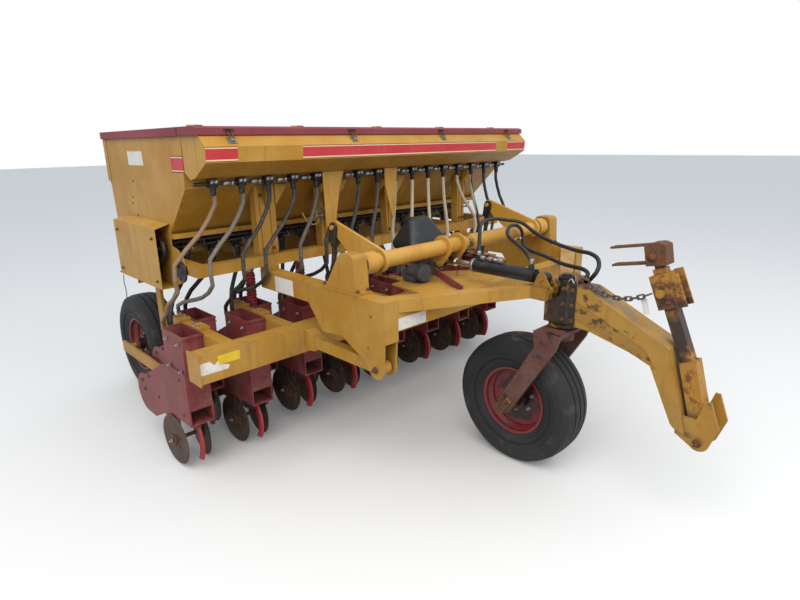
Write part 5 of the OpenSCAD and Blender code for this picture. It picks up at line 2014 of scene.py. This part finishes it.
@dataclass
class MeterTrim:
    """Shaft sections, boots, gates, levers and back sheets of the seed and grain meters.

    Attributes:
        rows: Where the rows are.
        share: Spacing of the meters as a share of the rows' spacing.
        cup_x: Line of the grass-seed cups.
        meter_x: Lines of the grain meters.
        shaft_z: Height of the feed shaft.
        cup_boot: Profile of the boot below a cup.
        meter_boot: Profile of the boot below a grain meter.
        sheets: Limits of the sheets behind the meters.
        rods: Place and radius of each rod that sets the gates, as (x, z, radius).
    """

    rows: Rows = field(default_factory=Rows)
    share: float = 0.86
    cup_x: float = -1118
    meter_x: Pair = (-1550, -2110)
    shaft_z: float = 1632
    cup_boot: Outline = ((13, 0), (15.5, 3), (15.5, 26), (17, 32))
    meter_boot: Outline = ((16, 0), (19, 4), (19, 16), (22, 22), (22, 48),
                                                 (26, 56), (26, 76))
    sheets: Tuple[Tuple[float, ...], ...] = ((-1608, -1604, -1296, 1296, 1204, 1308),
                                             (-2236, -2231, -1296, 1296, 925, 1138))
    rods: Tuple[Tuple[float, float, float], ...] = ((-1478, 1296, 9.0), (-1500, 1262, 7.0))

    def build(self) -> None:
        """Makes the meters' trim."""
        boots = Shape("tube_boots", Look.BLACK)
        shaft = Shape("feed_shaft_sections", Look.BRIGHT)
        gates = Shape("feed_gates", Look.RUSTY)
        levers = Shape("gate_levers", Look.BRIGHT)
        heads: List[Spot] = []
        rng = random.Random(11)
        for i in range(self.rows.count):
            y = self.rows.y(i) * self.share
            heads += [Spot((self.cup_x + 24, y + off, 1642), (1, 0, 0), 0.9, spin * i)
                      for off, spin in ((10, 13), (-14, 29))]
            boots.ring((self.cup_x, y, 1570), (0, 0, 1), self.cup_boot, 18)
            if i:
                self._shaft(shaft, y - self.rows.pitch * self.share * 0.5)
            for x in self.meter_x:
                self._gate(gates, levers, x + 46, y, rng)
                boots.ring((x, y, 1150), (0, 0, 1), self.meter_boot, 16)
        Repeater.place("cup_bolts", Units.bolt(), heads, Look.BRIGHT, "frame")
        self._wall()
        for shape in (boots, shaft, gates, levers):
            shape.fix_to("frame")

    def _shaft(self, shaft: Shape, middle: float) -> None:
        """Adds the length of shaft and the collar between two cups.

        Args:
            shaft: Takes them.
            middle: Place between the cups along Y.
        """
        for low, high, radius in ((-22, 20, 12.5), (24, 34, 15)):
            shaft.rod((self.cup_x, middle + low, self.shaft_z), (self.cup_x, middle + high, self.shaft_z),
                      radius, 14)

    @staticmethod
    def _gate(gates: Shape, levers: Shape, front: float, y: float, rng: random.Random) -> None:
        """Adds a meter's gate and its bent lever.

        Args:
            gates, levers: Take the gate and the lever.
            front, y: Place of the meter's face.
            rng: Draws how the lever leans.
        """
        gates.box(front - 2, front + 3, y - 26, y + 26, 1292, 1308)
        knee = (front + 16, y + 16 + rng.uniform(-12, 12) * 0.4, 1256)
        levers.rod((front, y + 16, 1284), knee, 3.0, 8)
        levers.rod(knee, (front + 20, y + 16, 1240), 4.2, 8)

    def _wall(self) -> None:
        """Adds the sheets behind the meters and the rods that set their gates."""
        sheet = Shape("meter_back_sheets", Look.YELLOW)
        for limits in self.sheets:
            sheet.box(*limits)
        sheet.fix_to("frame", "yellow_paint")
        rods = Shape("gate_rods", Look.GREASY)
        for x, z, radius in self.rods:
            rods.rod((x, -1330, z), (x, 1330, z), radius, 12)
        for k in range(self.rows.count // 2):
            y = self.rows.y(2 * k + 0.5) * self.share
            rods.box(-1486, -1470, y - 5, y + 5, 1240, 1300)
        rods.fix_to("frame")


@dataclass(frozen=True)
class Wire:
    """A bent wire or cord: its piece's name, finish, radius, facets round it and points of its line."""

    name: str
    finish: Look
    radius: float
    sides: int
    points: Tuple[Point, ...]


@dataclass
class LooseParts:
    """Small parts fixed to the frame: wires, cords, the lock bar, the test crank, side plates.

    Attributes:
        lock_bar: Ends of the lift lock bar.
        crank_at: Middle of the test crank.
        crank_ring: Radius of its ring.
        wires: The bent wires and cords.
        couplers: Places of the hose ends at the nose.
        coupler: Profile of a hose end.
        winding: Turns, middle radius and thickness of the line wound on the rockshaft.
        winding_y: Its ends along Y.
        shaft_at: Place of the rockshaft, as (x, z).
        side_plate: Outline of the plates beside the tongue, as (x, z).
        boss_at: Place of the head's pivot boss.
        boss: Its profile.
        collar_bolts: Number of bolts in the pole's collar.
    """

    lock_bar: Tuple[Point, Point] = ((-478, -232, 1096), (-190, -322, 1052))
    crank_at: Point = (-1172, -505, 1392)
    crank_ring: float = 44
    wires: Tuple[Wire, ...] = (
        Wire("yellow_wire_hook", Look.YELLOW, 5.0, 8,
             ((-1186, -640, 1420), (-1170, -622, 1370), (-1158, -590, 1346), (-1158, -548, 1352),
              (-1168, -536, 1378))),
        Wire("loose_wires", Look.BLACK, 2.2, 6,
             ((-470, -62, 1178), (-440, -58, 1120), (-452, -52, 1070), (-430, -80, 1048))),
        Wire("loose_wires", Look.BLACK, 3.0, 6,
             ((-610, -250, 1250), (-560, -260, 1190), (-540, -300, 1150), (-530, -330, 1150))),
        Wire("loose_wires", Look.BLACK, 3.2, 6,
             ((-1172, -400, 1250), (-1100, -380, 1180), (-900, -300, 1140), (-740, -260, 1180),
              (-650, -240, 1240))),
        Wire("green_tie_cord", Look.GREEN, 3.0, 6,
             ((-2064, -1433, 1036), (-2068, -1436, 990), (-2060, -1434, 930), (-2066, -1436, 880))))
    couplers: Tuple[Point, ...] = ((326, -8.0, 1128), (334, 46, 1118))
    coupler: Outline = ((12, 0), (15, 3), (15, 16), (12, 18))
    winding: Tuple[int, float, float] = (7, 49, 4.5)
    winding_y: Pair = (-835, -757)
    shaft_at: Pair = (-430, 1240)
    side_plate: Outline = (
        (330, 1040), (700, 872), (758, 790), (720, 806), (420, 925), (330, 950))
    boss_at: Point = (676, -46, 1302)
    boss: Outline = ((20, 0), (20, 5), (14, 7), (14, 12))
    collar_bolts: int = 2

    def build(self) -> None:
        """Makes them all."""
        self._lock_bar()
        self._crank()
        self._wires()
        self._winding()
        self._couplers()
        self._tongue_parts()

    def _lock_bar(self) -> None:
        """Adds the bar that locks the lift."""
        bar = Shape("lift_lock_bar", Look.MAROON)
        a, b = (Vector(end) for end in self.lock_bar)
        lie = (b - a).normalized().to_track_quat("X", "Z").to_matrix().to_4x4()
        bar.box(-150, 150, -4, 4, -20, 20, Matrix.Translation((a + b) / 2) @ lie)
        bar.fix_to("frame")

    def _crank(self) -> None:
        """Adds the crank that turns the meters by hand."""
        crank = Shape("test_crank", Look.BRIGHT)
        x, y, z = self.crank_at
        steps = 24
        circle_line = [(x, y + self.crank_ring * math.cos(2 * math.pi * k / steps),
                        z + self.crank_ring * math.sin(2 * math.pi * k / steps)) for k in range(steps + 1)]
        crank.tube(circle_line, 4.0, 8)
        crank.rod((x - 22, y, z), (x + 8.0, y, z), 9.0, 12)
        crank.rod((x, y - self.crank_ring, z), (x, y + self.crank_ring, z), 3.0, 8)
        crank.fix_to("frame")

    def _wires(self) -> None:
        """Adds the wires and the cord, those of one name as one piece."""
        shapes: Dict[str, Shape] = {}
        for wire in self.wires:
            shape = shapes.setdefault(wire.name, Shape(wire.name, wire.finish))
            shape.tube(smooth_path(wire.points), wire.radius, wire.sides)
        for shape in shapes.values():
            shape.fix_to("frame")

    def _winding(self) -> None:
        """Winds a line round the rockshaft, with uneven turns."""
        winding = Shape("rockshaft_winding", Look.BLACK)
        turns, middle, thick = self.winding
        (x, z), (low, high) = self.shaft_at, self.winding_y
        steps = 20
        path = []
        for k in range(turns * steps + 1):
            a = 2 * math.pi * k / steps
            r = middle + 3.0 * math.sin(k * 0.37)
            path.append((x + r * math.cos(a), low + (high - low) * k / (turns * steps), z + r * math.sin(a)))
        winding.tube(path, thick, 6)
        winding.fix_to("rockshaft_body")

    def _couplers(self) -> None:
        """Adds the hose ends at the nose."""
        couplers = Shape("hose_couplers", Look.RUSTY)
        for x, y, z in self.couplers:
            couplers.ring((x, y, z + 4), (-0.1, -0.1, -1), self.coupler, 18)
        couplers.fix_to("frame")

    def _tongue_parts(self) -> None:
        """Adds the side plates of the tongue, the head's boss and the collar's bolts."""
        plates = Shape("tongue_side_plates", Look.NOSE_YELLOW)
        for side in (-1, 1):
            plates.prism(self.side_plate, along_side, side * 75, side * 79)
        plates.fix_to("frame", "yellow_paint")
        boss = Shape("head_pivot_boss", Look.RUSTY)
        boss.ring(self.boss_at, (0, -1, 0), self.boss, 24)
        boss.fix_to("pole_body", "rusty_steel")
        bolts = [Spot((735 + 34 * k, -46.2, 1168 - 60 * k), (0, -1, 0), 1.1, 20 * k)
                 for k in range(self.collar_bolts)]
        Repeater.place("collar_bolts", Units.stud(), bolts, Look.RUSTY, "pole_body")


def paint_frame(nodes: Dict[str, Piece]) -> None:
    """Gives every CAD node its finish.

    Args:
        nodes: The frame's nodes by name.
    """
    for finish, names in FINISHED_NODES.items():
        for name in names:
            nodes[name].data.materials.clear()
            nodes[name].data.materials.append(material(finish))


def main() -> None:
    """Builds the whole picture."""
    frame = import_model()
    paint_frame(frame["nodes"])
    Stage().build()
    for part in (HoseLines(), WheelTrim(), OpenerTrim(), HopperTrim(), FrameTrim(), DriveTrim(),
                 MeterTrim(), HydraulicTrim(), HitchTrim(), LooseParts()):
        part.build()
        LOG.info("%s: built", type(part).__name__)


if __name__ == "__main__":
    main()
